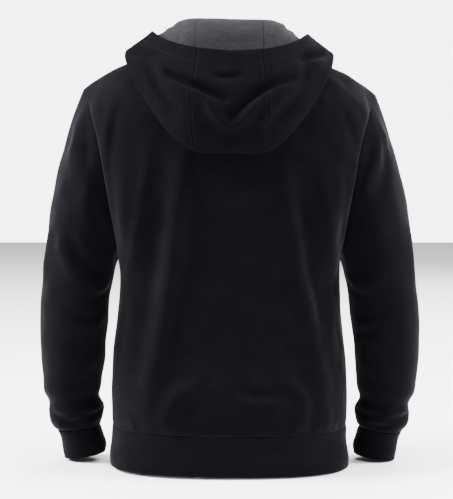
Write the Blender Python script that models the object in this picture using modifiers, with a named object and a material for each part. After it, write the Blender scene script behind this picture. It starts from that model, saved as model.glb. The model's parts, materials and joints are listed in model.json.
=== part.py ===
"""Zip-up hoodie in its worn form: hollow cloth walls, one object for each piece that is cut and sewn.

+X is the wearer's left, -Y the front and +Z up, in metres. The origin is the middle of the neck
opening, level with the high points of the shoulders.
"""

import math

import bmesh
import bpy
from mathutils import Matrix, Vector
from mathutils.bvhtree import BVHTree

# Walls and the gaps between pieces
FLEECE = 0.0018
BAND_CLOTH = 0.0028
JERSEY = 0.0010
SEAM_GAP = 0.0004
SHOULDER_GAP = 0.0007
ARMHOLE_GAP = 0.0012
NECK_GAP = 0.0024
RISE_GAP = 0.0038
LAYER_GAP = 0.0004
REST_GAP = 0.0050

# Driving heights and widths
NECK_HALF = 0.080
NECK_Z = -0.004
BACK_NECK = (0.062, -0.028)
FRONT_NECK = (-0.100, -0.085)
SHOULDER_HALF = 0.235
SHOULDER_Z = -0.081
SHOULDER_EVEN = 0.85
SHOULDER_POWER = 6
SHOULDER_Y = -0.005
UNDERARM_Z = -0.345
BAND_SEAM_Z = -0.617
HEM_Z = -0.682
FRONT_EDGE = 0.0085
SHOULDER_TILT = 0.019
HEM_TILT = 0.006

# Steps of the meshes
SHOULDER_STEPS = 7
BACK_NECK_STEPS = 4
FRONT_NECK_STEPS = 4
YOKE_STEPS = 10
SLEEVE_CAP_STEPS = 8
SLEEVE_STEPS = 15
CUFF_STEPS = 4
BAND_STEPS = 3
HOOD_INNER_STEPS = 9
HOOD_OUTER_STEPS = 12
HOOD_CENTRE_STEPS = 3
HOOD_SIDE_STEPS = 13

# Where the shoulder seam starts across each panel, at the front and at the back
SHOULDER_FROM = (
    FRONT_NECK_STEPS / (FRONT_NECK_STEPS + SHOULDER_STEPS),
    BACK_NECK_STEPS / (BACK_NECK_STEPS + SHOULDER_STEPS),
)

# Body of the garment below the armholes: height, half width, depth at the back and at the front
BODY_SECTIONS = (
    # z, half width, back, front
    (-0.6170, 0.1890, 0.1220, 0.1240),
    (-0.6000, 0.1905, 0.1310, 0.1300),
    (-0.5700, 0.1905, 0.1300, 0.1320),
    (-0.5200, 0.1890, 0.1200, 0.1300),
    (-0.4600, 0.1830, 0.1140, 0.1280),
    (-0.4000, 0.1775, 0.1150, 0.1280),
    (-0.3450, 0.1770, 0.1200, 0.1280),
)

# Rows above the underarm. The edge lies on the armhole and the middle on the centre line.
YOKE_SECTIONS = (
    # edge x, edge z, back: edge y, middle y, middle z; front: edge y, middle y, middle z
    (0.1785, -0.3300, 0.045, 0.1220, -0.3150, -0.042, -0.1280, -0.3250),
    (0.1840, -0.2900, 0.066, 0.1240, -0.2650, -0.060, -0.1270, -0.2850),
    (0.1940, -0.2300, 0.077, 0.1230, -0.2050, -0.068, -0.1240, -0.2350),
    (0.2060, -0.1650, 0.070, 0.1170, -0.1450, -0.062, -0.1180, -0.1850),
    (0.2210, -0.1120, 0.044, 0.1030, -0.0880, -0.042, -0.1100, -0.1400),
)

# How far apart the rows lie along the panel: the rows of the yoke, and those at its top edge
YOKE_RUNS = (0.030, 0.050, 0.060, 0.062, 0.060)
TOP_RUNS = (0.040, 0.066, 0.092)
# Mesh rows below the underarm, as heights above the waistband's seam
BODY_LEVELS = (0.0, 0.010, 0.020, 0.034, 0.052, 0.074, 0.100, 0.128, 0.158, 0.188, 0.216, 0.244)

# How far the cloth runs from the top edge to the row below it: out, back or forward, and down
LEAVING = {
    # back: out, along y and down at the neckline's middle; the same at its high point; shoulder; tip
    True: ((0.000, 0.015, -0.022), (0.016, 0.010, -0.007), (0.003, 0.026, -0.006), (-0.004, 0.020, -0.011)),
    False: (
        (0.000, -0.007, -0.026), (0.013, -0.012, -0.007), (0.003, -0.026, -0.006), (-0.004, -0.020, -0.011),
    ),
}

# Waistband: height, half width, depth at the back and at the front
BAND_SECTIONS = (
    # z, half width, back, front
    (-0.6174, 0.1898, 0.1228, 0.1248),
    (-0.6390, 0.1905, 0.1215, 0.1235),
    (-0.6650, 0.1945, 0.1235, 0.1255),
    (-0.6820, 0.1938, 0.1225, 0.1245),
)

# How the sleeve leaves the armhole: outward at the underarm and the shoulder, to the back, down
ARM_OUT = (0.45, 0.32)
ARM_TURN = 0.12
ARM_DOWN = 0.75
# Sleeve below the underarm and the cuff: the middle of each ring, its half width and half depth
SLEEVE_SECTIONS = (
    # z, middle x, middle y, half width, half depth, fall to the outside
    (-0.3780, 0.2428, 0.010, 0.0568, 0.0700, 0.00),
    (-0.4200, 0.2475, 0.015, 0.0552, 0.0640, 0.00),
    (-0.4600, 0.2512, 0.015, 0.0545, 0.0600, 0.00),
    (-0.5000, 0.2535, 0.009, 0.0520, 0.0560, 0.03),
    (-0.5400, 0.2550, 0.000, 0.0488, 0.0520, 0.06),
    (-0.5620, 0.2555, -0.006, 0.0470, 0.0495, 0.08),
    (-0.5800, 0.2535, -0.012, 0.0410, 0.0440, 0.10),
    (-0.5980, 0.2507, -0.018, 0.0452, 0.0480, 0.11),
    (-0.6160, 0.2505, -0.023, 0.0425, 0.0450, 0.12),
    (-0.6300, 0.2480, -0.027, 0.0345, 0.0365, 0.12),
)
CUFF_SECTIONS = (
    # z, middle x, middle y, half width, half depth, fall to the outside
    (-0.6306, 0.2478, -0.027, 0.0352, 0.0372, 0.12),
    (-0.6450, 0.2435, -0.031, 0.0348, 0.0365, 0.13),
    (-0.6620, 0.2400, -0.035, 0.0358, 0.0372, 0.14),
    (-0.6780, 0.2395, -0.038, 0.0338, 0.0352, 0.15),
)

# Hood lying on the shoulders. Each row is a station on the left, from the middle of the back to the
# zip. The cloth rises from the neck seam to the crest, turns down to the fold and comes up to the rim.
HOOD_STATIONS = (
    # place, along the neck, crest x, y, z, fold x, y, z, rim x, y, z, crest roll, fold roll, bulge
    (0.0, 0.00, 0.0000, 0.0830, 0.0260, 0.0000, 0.1600, -0.1810, 0.0000, 0.1520, -0.0240, 0.013, 0.016, 0.020),
    (1.0, 0.14, 0.0480, 0.0780, 0.0270, 0.0500, 0.1580, -0.1780, 0.0490, 0.1460, -0.0200, 0.013, 0.016, 0.019),
    (2.0, 0.24, 0.0720, 0.0580, 0.0260, 0.0780, 0.1500, -0.1620, 0.0790, 0.1220, -0.0130, 0.012, 0.015, 0.017),
    (3.0, 0.34, 0.0910, 0.0340, 0.0160, 0.1110, 0.1300, -0.1240, 0.1040, 0.0840, -0.0020, 0.009, 0.013, 0.014),
    (4.0, 0.45, 0.0990, 0.0120, 0.0090, 0.1430, 0.0900, -0.0710, 0.1200, 0.0460, 0.0100, 0.008, 0.011, 0.006),
    (5.0, 0.56, 0.1000, -0.0180, 0.0035, 0.1540, 0.0200, -0.0300, 0.1220, 0.0060, 0.0125, 0.006, 0.010, 0.001),
    (6.0, 0.70, 0.0860, -0.0620, -0.0210, 0.1200, -0.0640, -0.0320, 0.1010, -0.0480, 0.0015, 0.003, 0.008, 0.002),
    (7.0, 0.85, 0.0500, -0.0910, -0.0580, 0.0600, -0.0990, -0.0490, 0.0580, -0.0900, -0.0230, 0.000, 0.002, 0.003),
    (8.0, 1.00, 0.0090, -0.1014, -0.0760, 0.0098, -0.1040, -0.0670, 0.0115, -0.1060, -0.0440, 0.000, 0.001, 0.000),
)
CASING = 0.024
LINING_ROWS = (1, HOOD_INNER_STEPS - 1)
LINING_GAP = 0.0010
LINING_ENDS = 2

# Soft ridges (height above 0) and troughs (below 0) of the back: a line from one place to another
BACK_FOLDS = (
    # from x, z, to x, z, half width, height
    (0.073, -0.200, 0.105, -0.360, 0.018, 0.0085),
    (0.105, -0.360, 0.143, -0.560, 0.018, 0.0090),
    (0.128, -0.185, 0.158, -0.310, 0.013, 0.0050),
    (-0.087, -0.240, -0.122, -0.440, 0.016, 0.0075),
    (-0.122, -0.440, -0.146, -0.590, 0.016, 0.0070),
    (-0.020, -0.545, -0.085, -0.552, 0.015, -0.0070),
    (0.050, -0.540, 0.100, -0.580, 0.015, 0.0060),
    (-0.098, -0.535, -0.118, -0.590, 0.015, 0.0065),
    (0.000, -0.300, 0.010, -0.440, 0.022, -0.0035),
)
FRONT_FOLDS = (
    # from x, z, to x, z, half width, height
    (0.095, -0.240, 0.120, -0.420, 0.018, 0.0075),
    (0.120, -0.420, 0.140, -0.560, 0.017, 0.0080),
    (0.165, -0.280, 0.115, -0.190, 0.015, 0.0060),
    (0.050, -0.560, 0.100, -0.585, 0.015, 0.0055),
)

# Soft ridges and troughs of the sleeves. The angle runs from the underarm over the back, in degrees.
SLEEVE_FOLDS = (
    # side, from angle, z, to angle, z, half width, height
    (1, 20, -0.395, 80, -0.385, 0.015, 0.0070),
    (1, 10, -0.430, 70, -0.420, 0.014, -0.0060),
    (1, 120, -0.150, 75, -0.290, 0.017, 0.0070),
    (1, 60, -0.588, 130, -0.594, 0.010, -0.0060),
    (1, 200, -0.400, 260, -0.380, 0.015, 0.0065),
    (1, 290, -0.430, 340, -0.410, 0.015, -0.0060),
    (1, 210, -0.592, 300, -0.586, 0.010, -0.0060),
    (-1, 15, -0.412, 70, -0.386, 0.015, 0.0070),
    (-1, 10, -0.446, 80, -0.442, 0.013, -0.0060),
    (-1, 15, -0.486, 70, -0.474, 0.013, -0.0055),
    (-1, 125, -0.120, 90, -0.240, 0.017, 0.0075),
    (-1, 50, -0.596, 130, -0.588, 0.010, -0.0060),
    (-1, 210, -0.390, 270, -0.400, 0.015, 0.0065),
    (-1, 220, -0.588, 310, -0.594, 0.010, -0.0060),
)

# Folds of the hood's outer layer at the back: x against the height above the layer's lower fold
LAYER_HEIGHT = 0.16
HOOD_FOLDS = (
    # from x, height, to x, height, half width, height of the ridge
    (0.086, 0.100, 0.010, 0.074, 0.013, -0.0120),
    (-0.090, 0.102, -0.014, 0.070, 0.013, -0.0120),
    (0.030, 0.058, 0.000, 0.043, 0.012, 0.0070),
    (-0.036, 0.061, 0.000, 0.043, 0.012, 0.0070),
    (0.110, 0.088, 0.072, 0.048, 0.011, -0.0060),
    (-0.112, 0.088, -0.062, 0.035, 0.011, -0.0060),
)

# Zip
TAPE_OUT = 0.0170
TAPE_IN = 0.0035
TAPE_CLOTH = 0.0010
CHAIN_HALF = 0.0029
CHAIN_THICK = 0.0022
CHAIN_SETBACK = 0.0008
SLIDER_Z = -0.104
# The heights at which the chain bends, from the hem to the slider
CHAIN_HEIGHTS = (HEM_Z - SEAM_GAP, -0.652, BAND_SEAM_Z, -0.585, -0.540, -0.480, -0.420, -0.360, -0.300, -0.245,
                 -0.195, -0.150, -0.130, SLIDER_Z - 0.0085)
SLIDER_SIZE = (0.0100, 0.0046, 0.0150)
SLIDER_SETBACK = 0.0012
BRIDGE_INSET = 0.0035
BRIDGE_HEIGHT = 0.0036
BRIDGE_WALL = 0.0008
PULL_ACROSS = (-0.0040, -0.0024, 0.0024, 0.0040)
PULL_ALONG = (-0.0260, -0.0245, -0.0070, -0.0055, -0.0006, 0.0006)
PULL_THICK = 0.0011

BLACK_FLEECE = (0.014, 0.013, 0.016)
BLACK_BAND = (0.017, 0.016, 0.019)
GREY_JERSEY = (0.075, 0.076, 0.082)
BLACK_TAPE = (0.010, 0.010, 0.011)
BLACK_METAL = (0.030, 0.030, 0.032)


# ---------------------------------------------------------------- scene and meshes
def clear_scene():
    for obj in list(bpy.data.objects):
        bpy.data.objects.remove(obj, do_unlink=True)


def new_collection(name):
    collection = bpy.data.collections.new(name)
    bpy.context.scene.collection.children.link(collection)
    return collection


def material(name, colour, roughness, metallic=0.0):
    made = bpy.data.materials.new(name)
    made.use_nodes = True
    shader = made.node_tree.nodes["Principled BSDF"]
    shader.inputs["Base Color"].default_value = (*colour, 1.0)
    shader.inputs["Roughness"].default_value = roughness
    shader.inputs["Metallic"].default_value = metallic
    return made


def grid_mesh(name, rows, closed):
    """A quad sheet through rows of points. Its front is on the side where the rows run upward and
    the columns to the right."""
    mesh = bpy.data.meshes.new(name)
    bm = bmesh.new()
    verts = [[bm.verts.new(point) for point in row] for row in rows]
    columns = len(rows[0])
    for lower, upper in zip(verts, verts[1:]):
        for i in range(columns if closed else columns - 1):
            j = (i + 1) % columns
            bm.faces.new((lower[i], lower[j], upper[j], upper[i]))
    bm.to_mesh(mesh)
    bm.free()
    return mesh


def cloth_wall(name, rows, cloth, thickness, collection, closed=False):
    """A cloth piece: the sheet is its outer face and the wall lies behind it."""
    obj = bpy.data.objects.new(name, grid_mesh(name, rows, closed))
    collection.objects.link(obj)
    obj.data.materials.append(cloth)
    obj.data.shade_smooth()
    wall = obj.modifiers.new("wall", "SOLIDIFY")
    wall.thickness = thickness
    wall.offset = -1.0
    wall.use_even_offset = False
    return obj


# ---------------------------------------------------------------- curves
def mix(a, b, share):
    return a + (b - a) * share


def through(places, points, at):
    """The point at a place on a smooth curve through points, with a tangent from both neighbours."""
    last = len(points) - 1
    i = 0
    while i < last - 1 and at > places[i + 1]:
        i += 1
    step = places[i + 1] - places[i]
    share = (at - places[i]) / step

    def slope(k):
        low, high = max(k - 1, 0), min(k + 1, last)
        return (points[high] - points[low]) / (places[high] - places[low]) * step

    a, b = points[i], points[i + 1]
    cube, square = share**3, share**2
    return (
        a * (2 * cube - 3 * square + 1)
        + slope(i) * (cube - 2 * square + share)
        + b * (3 * square - 2 * cube)
        + slope(i + 1) * (cube - square)
    )


def column_of(table, at, column):
    return through([row[0] for row in table], [row[column] for row in table], at)


def power(value, exponent):
    return abs(value) ** exponent


def smooth(share):
    share = min(max(share, 0.0), 1.0)
    return share * share * (3 - 2 * share)


def tilted(point):
    """The shoulders slope a little down to the wearer's right, and the hem less so."""
    share = smooth((point.z - HEM_Z) / (SHOULDER_Z - HEM_Z))
    return Vector((point.x, point.y, point.z + point.x * mix(HEM_TILT, SHOULDER_TILT, share)))


def crease(across, up, folds):
    """The sum of the folds at a place of a panel: round across and fading out at both ends."""
    total = 0.0
    place = Vector((across, up))
    for x0, z0, x1, z1, width, height in folds:
        start, line = Vector((x0, z0)), Vector((x1 - x0, z1 - z0))
        share = (place - start).dot(line) / line.length_squared
        aside = (place - start - line * min(max(share, 0.0), 1.0)).length
        total += height * math.exp(-((aside / width) ** 2))
    return total


# ---------------------------------------------------------------- body panels
def shoulder_seam(share, side):
    """From the high point at the neck, 0, to the tip of the shoulder, 1: a rounded fall."""
    x = mix(NECK_HALF, SHOULDER_HALF, share)
    z = mix(NECK_Z, SHOULDER_Z, SHOULDER_EVEN * share + (1 - SHOULDER_EVEN) * share**SHOULDER_POWER)
    return Vector((x, mix(-0.002, SHOULDER_Y, share) + side * SHOULDER_GAP, z))


def neckline(share, back):
    """From the middle, 0, to the high point at the neck, 1."""
    angle = share * math.pi / 2
    if back:
        y, z = BACK_NECK
        return Vector((NECK_HALF * math.sin(angle), mix(-0.002 + SHOULDER_GAP, y, math.cos(angle)),
                       mix(NECK_Z, z, math.cos(angle))))
    y, z = FRONT_NECK
    x = mix(FRONT_EDGE, NECK_HALF, power(math.sin(angle), 0.9))
    ahead = math.cos(angle)
    return Vector((x, mix(-0.002 - SHOULDER_GAP, y, ahead), mix(NECK_Z, z, power(ahead, 1.2))))


def top_edge(across, back):
    """The neckline and then the shoulder seam, across from the middle, 0, to the armhole, 1."""
    neck_share = SHOULDER_FROM[back]
    if across <= neck_share:
        return neckline(across / neck_share, back)
    return shoulder_seam((across - neck_share) / (1 - neck_share), 1 if back else -1)


def body_row(across, half_width, depth, back):
    """A point of a level section below the armholes."""
    angle = across * math.pi / 2
    start = 0.0 if back else FRONT_EDGE
    x = mix(start, half_width, power(math.sin(angle), 0.80))
    y = SEAM_GAP + depth * power(math.cos(angle), 0.80)
    return x, y if back else -y


def leaving(across, back):
    """The step from the top edge to the cloth below it."""
    middle, corner, shoulder, tip = [Vector(row) for row in LEAVING[back]]
    neck_share = SHOULDER_FROM[back]
    if across <= neck_share:
        angle = across / neck_share * math.pi / 2
        out = corner.x * math.sin(angle)
        return Vector((out, mix(corner.y, middle.y, math.cos(angle)), mix(corner.z, middle.z, math.cos(angle))))
    share = (across - neck_share) / (1 - neck_share)
    return corner.lerp(shoulder, smooth(share * 2.5)).lerp(tip, power(share, 4))


def panel_rows(across, back):
    """The heights along the panel and the points of its sections, at a place across it."""
    places, points = [], []
    for z, half_width, back_depth, front_depth in BODY_SECTIONS:
        x, y = body_row(across, half_width, back_depth if back else front_depth, back)
        places.append(z - BAND_SEAM_Z)
        points.append(Vector((x, y, z)))
    angle = across * math.pi / 2
    for i, row in enumerate(YOKE_SECTIONS):
        edge_x, edge_z = row[0], row[1]
        edge_y, middle_y, middle_z = row[2:5] if back else row[5:8]
        start = 0.0 if back else FRONT_EDGE
        bow = 0.80 + 0.05 * (i + 1)
        x = mix(start, edge_x, power(math.sin(angle), bow))
        y = mix(edge_y, middle_y, power(math.cos(angle), bow))
        z = mix(edge_z, middle_z, power(math.cos(angle), 1.4))
        places.append(places[-1] + YOKE_RUNS[i])
        points.append(Vector((x, y, z)))
    top = top_edge(across, back)
    below = top + leaving(across, back)
    beyond = top * 2 - below
    if across > SHOULDER_FROM[back]:
        beyond.z = below.z
    places += [places[-1] + run for run in TOP_RUNS]
    points += [below, top, beyond]
    return places, points


def panel_levels():
    """The heights of the mesh rows: those below the underarm and those above."""
    underarm = UNDERARM_Z - BAND_SEAM_Z
    places, _ = panel_rows(0.0, True)
    low = [*BODY_LEVELS, underarm]
    high = [mix(places[-2], underarm, (1 - i / YOKE_STEPS) ** 1.35) for i in range(1, YOKE_STEPS + 1)]
    return low, high


def panel_point(across, level, back):
    places, points = panel_rows(abs(across), back)
    point = through(places, points, level)
    if level < UNDERARM_Z - BAND_SEAM_Z:
        point.y = max(point.y, SEAM_GAP) if back else min(point.y, -SEAM_GAP)
    side = -1 if across < 0 else 1
    return Vector((point.x * side, point.y, point.z))


def panel_normal(across, level, back):
    step = 0.01
    towards = -step if across > 0.9 else step
    right = panel_point(across + towards, level, back) - panel_point(across, level, back)
    low, high = max(level - step, 0.0), min(level + step, panel_levels()[1][-1])
    up = panel_point(across, high, back) - panel_point(across, low, back)
    normal = right.cross(up).normalized()
    return normal if (normal.y > 0) == back else -normal


def panel_grid(spots, levels, back, folds, mirror=False):
    """The panel's rows of points, with its folds dying out towards its edges."""
    rows = []
    for level in levels:
        row = []
        for across in spots:
            point = panel_point(across, level, back)
            inside = smooth((1 - abs(across)) * 8) * smooth(level * 60) * smooth((levels[-1] - level) * 30)
            height = crease(point.x, point.z, folds) * inside
            if height:
                point = point + panel_normal(across, level, back) * height
            row.append(Vector((-point.x, point.y, point.z)) if mirror else point)
        rows.append(row)
    return rows


def posed(rows):
    return [[tilted(point) for point in row] for row in rows]


def turned(rows):
    """The same sheet with its front on the other side."""
    return [row[::-1] for row in rows]


def body_grids():
    low, high = panel_levels()
    levels = low + high
    steps = BACK_NECK_STEPS + SHOULDER_STEPS
    back_spots = [i / steps for i in range(-steps, steps + 1)]
    front_steps = FRONT_NECK_STEPS + SHOULDER_STEPS
    front_spots = [i / front_steps for i in range(front_steps + 1)]
    return {
        "back": turned(panel_grid(back_spots, levels, True, BACK_FOLDS)),
        "front_left": panel_grid(front_spots, levels, False, FRONT_FOLDS),
        "front_right": turned(panel_grid(front_spots, levels, False, FRONT_FOLDS, mirror=True)),
    }


# ---------------------------------------------------------------- sleeves and cuffs
def armhole(side):
    """The closed edge from the underarm up the back, over the shoulder and down the front."""
    _, high = panel_levels()
    levels = [UNDERARM_Z - BAND_SEAM_Z] + high
    back = [panel_point(side, level, True) for level in levels]
    front = [panel_point(1.0, level, False) for level in levels]
    front = [Vector((point.x * side, point.y, point.z)) for point in front]
    loop = back[:-1] + [(back[-1] + front[-1]) / 2] + front[-2:0:-1]
    loop[0] = (back[0] + front[0]) / 2
    return loop


def ring_point(section, angle, side):
    """The angle runs from the underarm over the back."""
    z, x, y, half_width, half_depth, fall = section
    inward = -math.cos(angle)
    point = Vector((x + half_width * inward, y + half_depth * math.sin(angle), z - half_width * inward * fall))
    return Vector((point.x * side, point.y, point.z))


def section_at(table, z):
    return (z, *[column_of(table, z, column) for column in range(1, 6)])


def rising(table):
    return tuple(sorted(table))


def arm_direction(angle, side):
    """The way in which the sleeve leaves the armhole."""
    high = (1 - math.cos(angle)) / 2
    return Vector((side * mix(*ARM_OUT, high), ARM_TURN * math.sin(angle), -ARM_DOWN)).normalized()


def sleeve_grid(side):
    loop = armhole(side)
    count = len(loop)
    angles = [2 * math.pi * i / count for i in range(count)]
    table = rising(SLEEVE_SECTIONS)
    first = section_at(table, SLEEVE_SECTIONS[0][0])
    after = section_at(table, SLEEVE_SECTIONS[0][0] - 0.01)
    folds = [row[1:] for row in SLEEVE_FOLDS if row[0] == side]
    rows = []
    for k in range(SLEEVE_CAP_STEPS):
        share = k / SLEEVE_CAP_STEPS
        row = []
        for start, angle in zip(loop, angles):
            end = ring_point(first, angle, side)
            down = (ring_point(after, angle, side) - end).normalized()
            start = start + arm_direction(angle, side) * ARMHOLE_GAP
            reach = (end - start).length
            cube, square = share**3, share**2
            row.append(
                start * (2 * cube - 3 * square + 1)
                + arm_direction(angle, side) * reach * (cube - 2 * square + share)
                + end * (3 * square - 2 * cube)
                + down * reach * (cube - square)
            )
        rows.append(row)
    top, bottom = SLEEVE_SECTIONS[0][0], SLEEVE_SECTIONS[-1][0]
    for k in range(SLEEVE_STEPS + 1):
        section = section_at(table, mix(top, bottom, 1 - (1 - k / SLEEVE_STEPS) ** 1.25))
        rows.append([ring_point(section, angle, side) for angle in angles])
    return fold_tube(rows, angles, folds, side)


def fold_tube(rows, angles, folds, side):
    """Moves the points of a tube out and in along its folds, whose places are an angle and a height."""
    made = []
    for k, row in enumerate(rows):
        middle = sum(row, Vector()) / len(row)
        ends = smooth(k / 2) * smooth((len(rows) - 1 - k) / 2)
        radius = sum((point - middle).length for point in row) / len(row)
        moved = []
        for point, angle in zip(row, angles):
            height = 0.0
            for a0, z0, a1, z1, width, size in folds:
                start = Vector((math.radians(a0) * radius, z0))
                line = Vector((math.radians(a1) * radius, z1)) - start
                place = Vector((angle * radius, point.z)) - start
                share = min(max(place.dot(line) / line.length_squared, 0.0), 1.0)
                height += size * math.exp(-(((place - line * share).length / width) ** 2))
            out = Vector((point.x - middle.x, point.y - middle.y, 0)).normalized()
            moved.append(point + out * height * ends)
        made.append(moved)
    return made


def cuff_grid(side):
    count = 2 * YOKE_STEPS
    table = rising(CUFF_SECTIONS)
    top, bottom = CUFF_SECTIONS[0][0], CUFF_SECTIONS[-1][0]
    rows = []
    for k in range(CUFF_STEPS + 1):
        section = section_at(table, mix(top, bottom, k / CUFF_STEPS))
        rows.append([ring_point(section, 2 * math.pi * i / count, side) for i in range(count)])
    return [[point - Vector((0, 0, SEAM_GAP)) for point in row] for row in rows]


def outward_tube(rows, side):
    """Rows that run down a tube, turned so that its front is outside."""
    return rows if side > 0 else turned(rows)


# ---------------------------------------------------------------- waistband
def band_grid():
    steps_back = BACK_NECK_STEPS + SHOULDER_STEPS
    steps_front = FRONT_NECK_STEPS + SHOULDER_STEPS
    table = rising(BAND_SECTIONS)
    rows = []
    for k in range(BAND_STEPS + 1):
        z = mix(HEM_Z, BAND_SECTIONS[0][0], k / BAND_STEPS)
        half_width, back_depth, front_depth = [column_of(table, z, column) for column in (1, 2, 3)]
        row = []
        for i in range(steps_front):
            x, y = body_row(i / steps_front, half_width, front_depth, False)
            row.append(Vector((x, y, z - SEAM_GAP)))
        row.append(Vector((half_width, 0.0, z - SEAM_GAP)))
        for i in range(steps_back - 1, -steps_back, -1):
            x, y = body_row(abs(i) / steps_back, half_width, back_depth, True)
            row.append(Vector((math.copysign(x, i), y, z - SEAM_GAP)))
        row.append(Vector((-half_width, 0.0, z - SEAM_GAP)))
        for i in range(steps_front - 1, -1, -1):
            x, y = body_row(i / steps_front, half_width, front_depth, False)
            row.append(Vector((-x, y, z - SEAM_GAP)))
        rows.append(row)
    return rows


# ---------------------------------------------------------------- hood
def neck_edge():
    """Half of the neckline's edge, from the middle of the back to the zip, as the panels have it."""
    back = [neckline(i / BACK_NECK_STEPS, True) for i in range(BACK_NECK_STEPS + 1)]
    front = [neckline(i / FRONT_NECK_STEPS, False) for i in range(FRONT_NECK_STEPS, -1, -1)]
    return back + front


def along(points, share):
    """The point at a share of a broken line's length."""
    lengths = [(b - a).length for a, b in zip(points, points[1:])]
    rest = share * sum(lengths)
    for start, end, length in zip(points, points[1:], lengths):
        if rest <= length:
            return start.lerp(end, rest / length if length else 0.0)
        rest -= length
    return points[-1].copy()


def hood_profile(place):
    """The points that guide the hood's cloth at a station, from the neck seam to the rim."""
    value = [column_of(HOOD_STATIONS, abs(place), column) for column in range(1, 14)]
    neck = along(neck_edge(), min(max(value[0], 0.0), 1.0)) + Vector((0, 0, NECK_GAP))
    crest, fold, rim = Vector(value[1:4]), Vector(value[4:7]), Vector(value[7:10])
    crest_roll, roll, bulge = value[10:]
    out = Vector((fold.x, fold.y, 0)).normalized()
    up = Vector((0, 0, 1))
    rise = (crest - neck) * 0.5 - out * 0.25 * crest_roll
    inner = fold - out * 0.8 * roll + up * 1.3 * roll
    outer = fold + out * 1.1 * roll + up * 1.1 * roll
    over = crest.lerp(inner, 0.12) + (out + up * 0.3) * crest_roll
    to_rim = (rim - outer).normalized()
    under = rim - to_rim * min(CASING, (rim - outer).length * 0.5)
    under = under + out * bulge * 0.3
    points = [
        neck,
        neck + rise,
        crest,
        over,
        over.lerp(inner, 0.5),
        inner,
        fold,
        outer,
        outer.lerp(under, 0.33) + out * bulge * 0.75,
        outer.lerp(under, 0.68) + out * bulge * 0.65,
        under,
        rim,
    ]
    side = -1 if place < 0 else 1
    return [Vector((point.x * side, point.y, point.z)) for point in points]


def profile_places(points):
    places = [0.0]
    for a, b in zip(points, points[1:]):
        places.append(places[-1] + max((b - a).length, 0.0005))
    return places


def hood_column(place):
    """The hood's cloth at a station: points from the neck seam to the rim, evenly spaced."""
    guides = hood_profile(place)
    places = profile_places(guides)
    out = Vector((guides[6].x, guides[6].y, 0)).normalized()
    rear = smooth((guides[6].y - 0.02) * 20)
    inner = [places[6] * k / HOOD_INNER_STEPS for k in range(HOOD_INNER_STEPS)]
    outer = [mix(places[6], places[-1], k / HOOD_OUTER_STEPS) for k in range(HOOD_OUTER_STEPS + 1)]
    column = []
    for at in inner + outer:
        point = through(places, guides, at)
        above = (at - places[6]) / (places[-1] - places[6])
        if above > 0:
            ends = smooth(above * 6) * smooth((1 - above) * 5) * rear
            point = point + out * crease(point.x, above * LAYER_HEIGHT, HOOD_FOLDS) * ends
        column.append(point)
    return column


def clear_of(tree, point, gap):
    """Lifts a point off the garment below it. A point past the garment's edge stays."""
    hit, normal, _, _ = tree.find_nearest(point)
    away = point - hit
    height = away.dot(normal)
    aside = (away - normal * height).length
    if height >= gap or aside > abs(height) + gap:
        return point
    return point + normal * (gap - height)


def hood_places():
    """The stations of the hood's columns from the right end of the zip round to the left end."""
    centre = [i / HOOD_CENTRE_STEPS for i in range(-HOOD_CENTRE_STEPS + 1, HOOD_CENTRE_STEPS)]
    side = [mix(1.0, 8.0, i / HOOD_SIDE_STEPS) for i in range(HOOD_SIDE_STEPS + 1)]
    return [-place for place in reversed(side)] + centre + side


def hood_sheet(tree):
    """The whole hood as rows from the neck seam to the rim, lying clear of the garment below."""
    columns = []
    for place in hood_places():
        column = [tilted(point) for point in hood_column(place)]
        columns.append([column[0], clear_of(tree, column[1], RISE_GAP)])
        columns[-1] += [clear_of(tree, point, REST_GAP) for point in column[2:]]
    return turned([list(row) for row in zip(*columns)])


def sheet_normals(rows):
    """The outward directions at a grid's points."""
    normals = []
    last, end = len(rows) - 1, len(rows[0]) - 1
    for k in range(len(rows)):
        line = []
        for i in range(len(rows[0])):
            right = rows[k][min(i + 1, end)] - rows[k][max(i - 1, 0)]
            up = rows[min(k + 1, last)][i] - rows[max(k - 1, 0)][i]
            line.append(right.cross(up).normalized())
        normals.append(line)
    return normals


def behind(rows, depth):
    """A sheet that lies behind another, at a depth under its front."""
    normals = sheet_normals(rows)
    return [[point - normal * depth for point, normal in zip(row, line)] for row, line in zip(rows, normals)]


def cut_in_panels(rows):
    """The left side, the centre and the right side of a hood sheet, with gaps at the two seams."""
    first = HOOD_SIDE_STEPS
    second = first + 2 * HOOD_CENTRE_STEPS

    def piece(start, end, parted):
        made = [row[start:end + 1] for row in rows]
        for row in made:
            for at, beside in parted:
                away = row[beside] - row[at]
                row[at] = row[at] + away.normalized() * min(SEAM_GAP, away.length / 2)
        return made

    return {
        "side_left": piece(0, first, ((-1, -2),)),
        "centre": piece(first, second, ((0, 1), (-1, -2))),
        "side_right": piece(second, len(rows[0]) - 1, ((0, 1),)),
    }


# ---------------------------------------------------------------- zip
def zip_line(z):
    """The outer face of the front edge at a height."""
    low, high = 0.0, panel_levels()[1][-1]
    for _ in range(40):
        level = (low + high) / 2
        if panel_point(0.0, level, False).z < z:
            low = level
        else:
            high = level
    return panel_point(0.0, (low + high) / 2, False).y


def front_edge_rows():
    """The front edge and the next point beside it, row by row from the hem up, with the wall's depth."""
    rows = []
    table = rising(BAND_SECTIONS)
    step = 1 / (FRONT_NECK_STEPS + SHOULDER_STEPS)
    for k in range(BAND_STEPS + 1):
        z = mix(HEM_Z, BAND_SECTIONS[0][0], k / BAND_STEPS)
        half_width, front = column_of(table, z, 1), column_of(table, z, 3)
        points = [Vector((*body_row(across, half_width, front, False), z)) for across in (0.0, step)]
        rows.append((*points, BAND_CLOTH))
    low, high = panel_levels()
    for level in low[1:] + high:
        points = [panel_point(across, level, False) for across in (0.0, step)]
        rows.append((*points, FLEECE + LAYER_GAP))
    return rows


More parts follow.
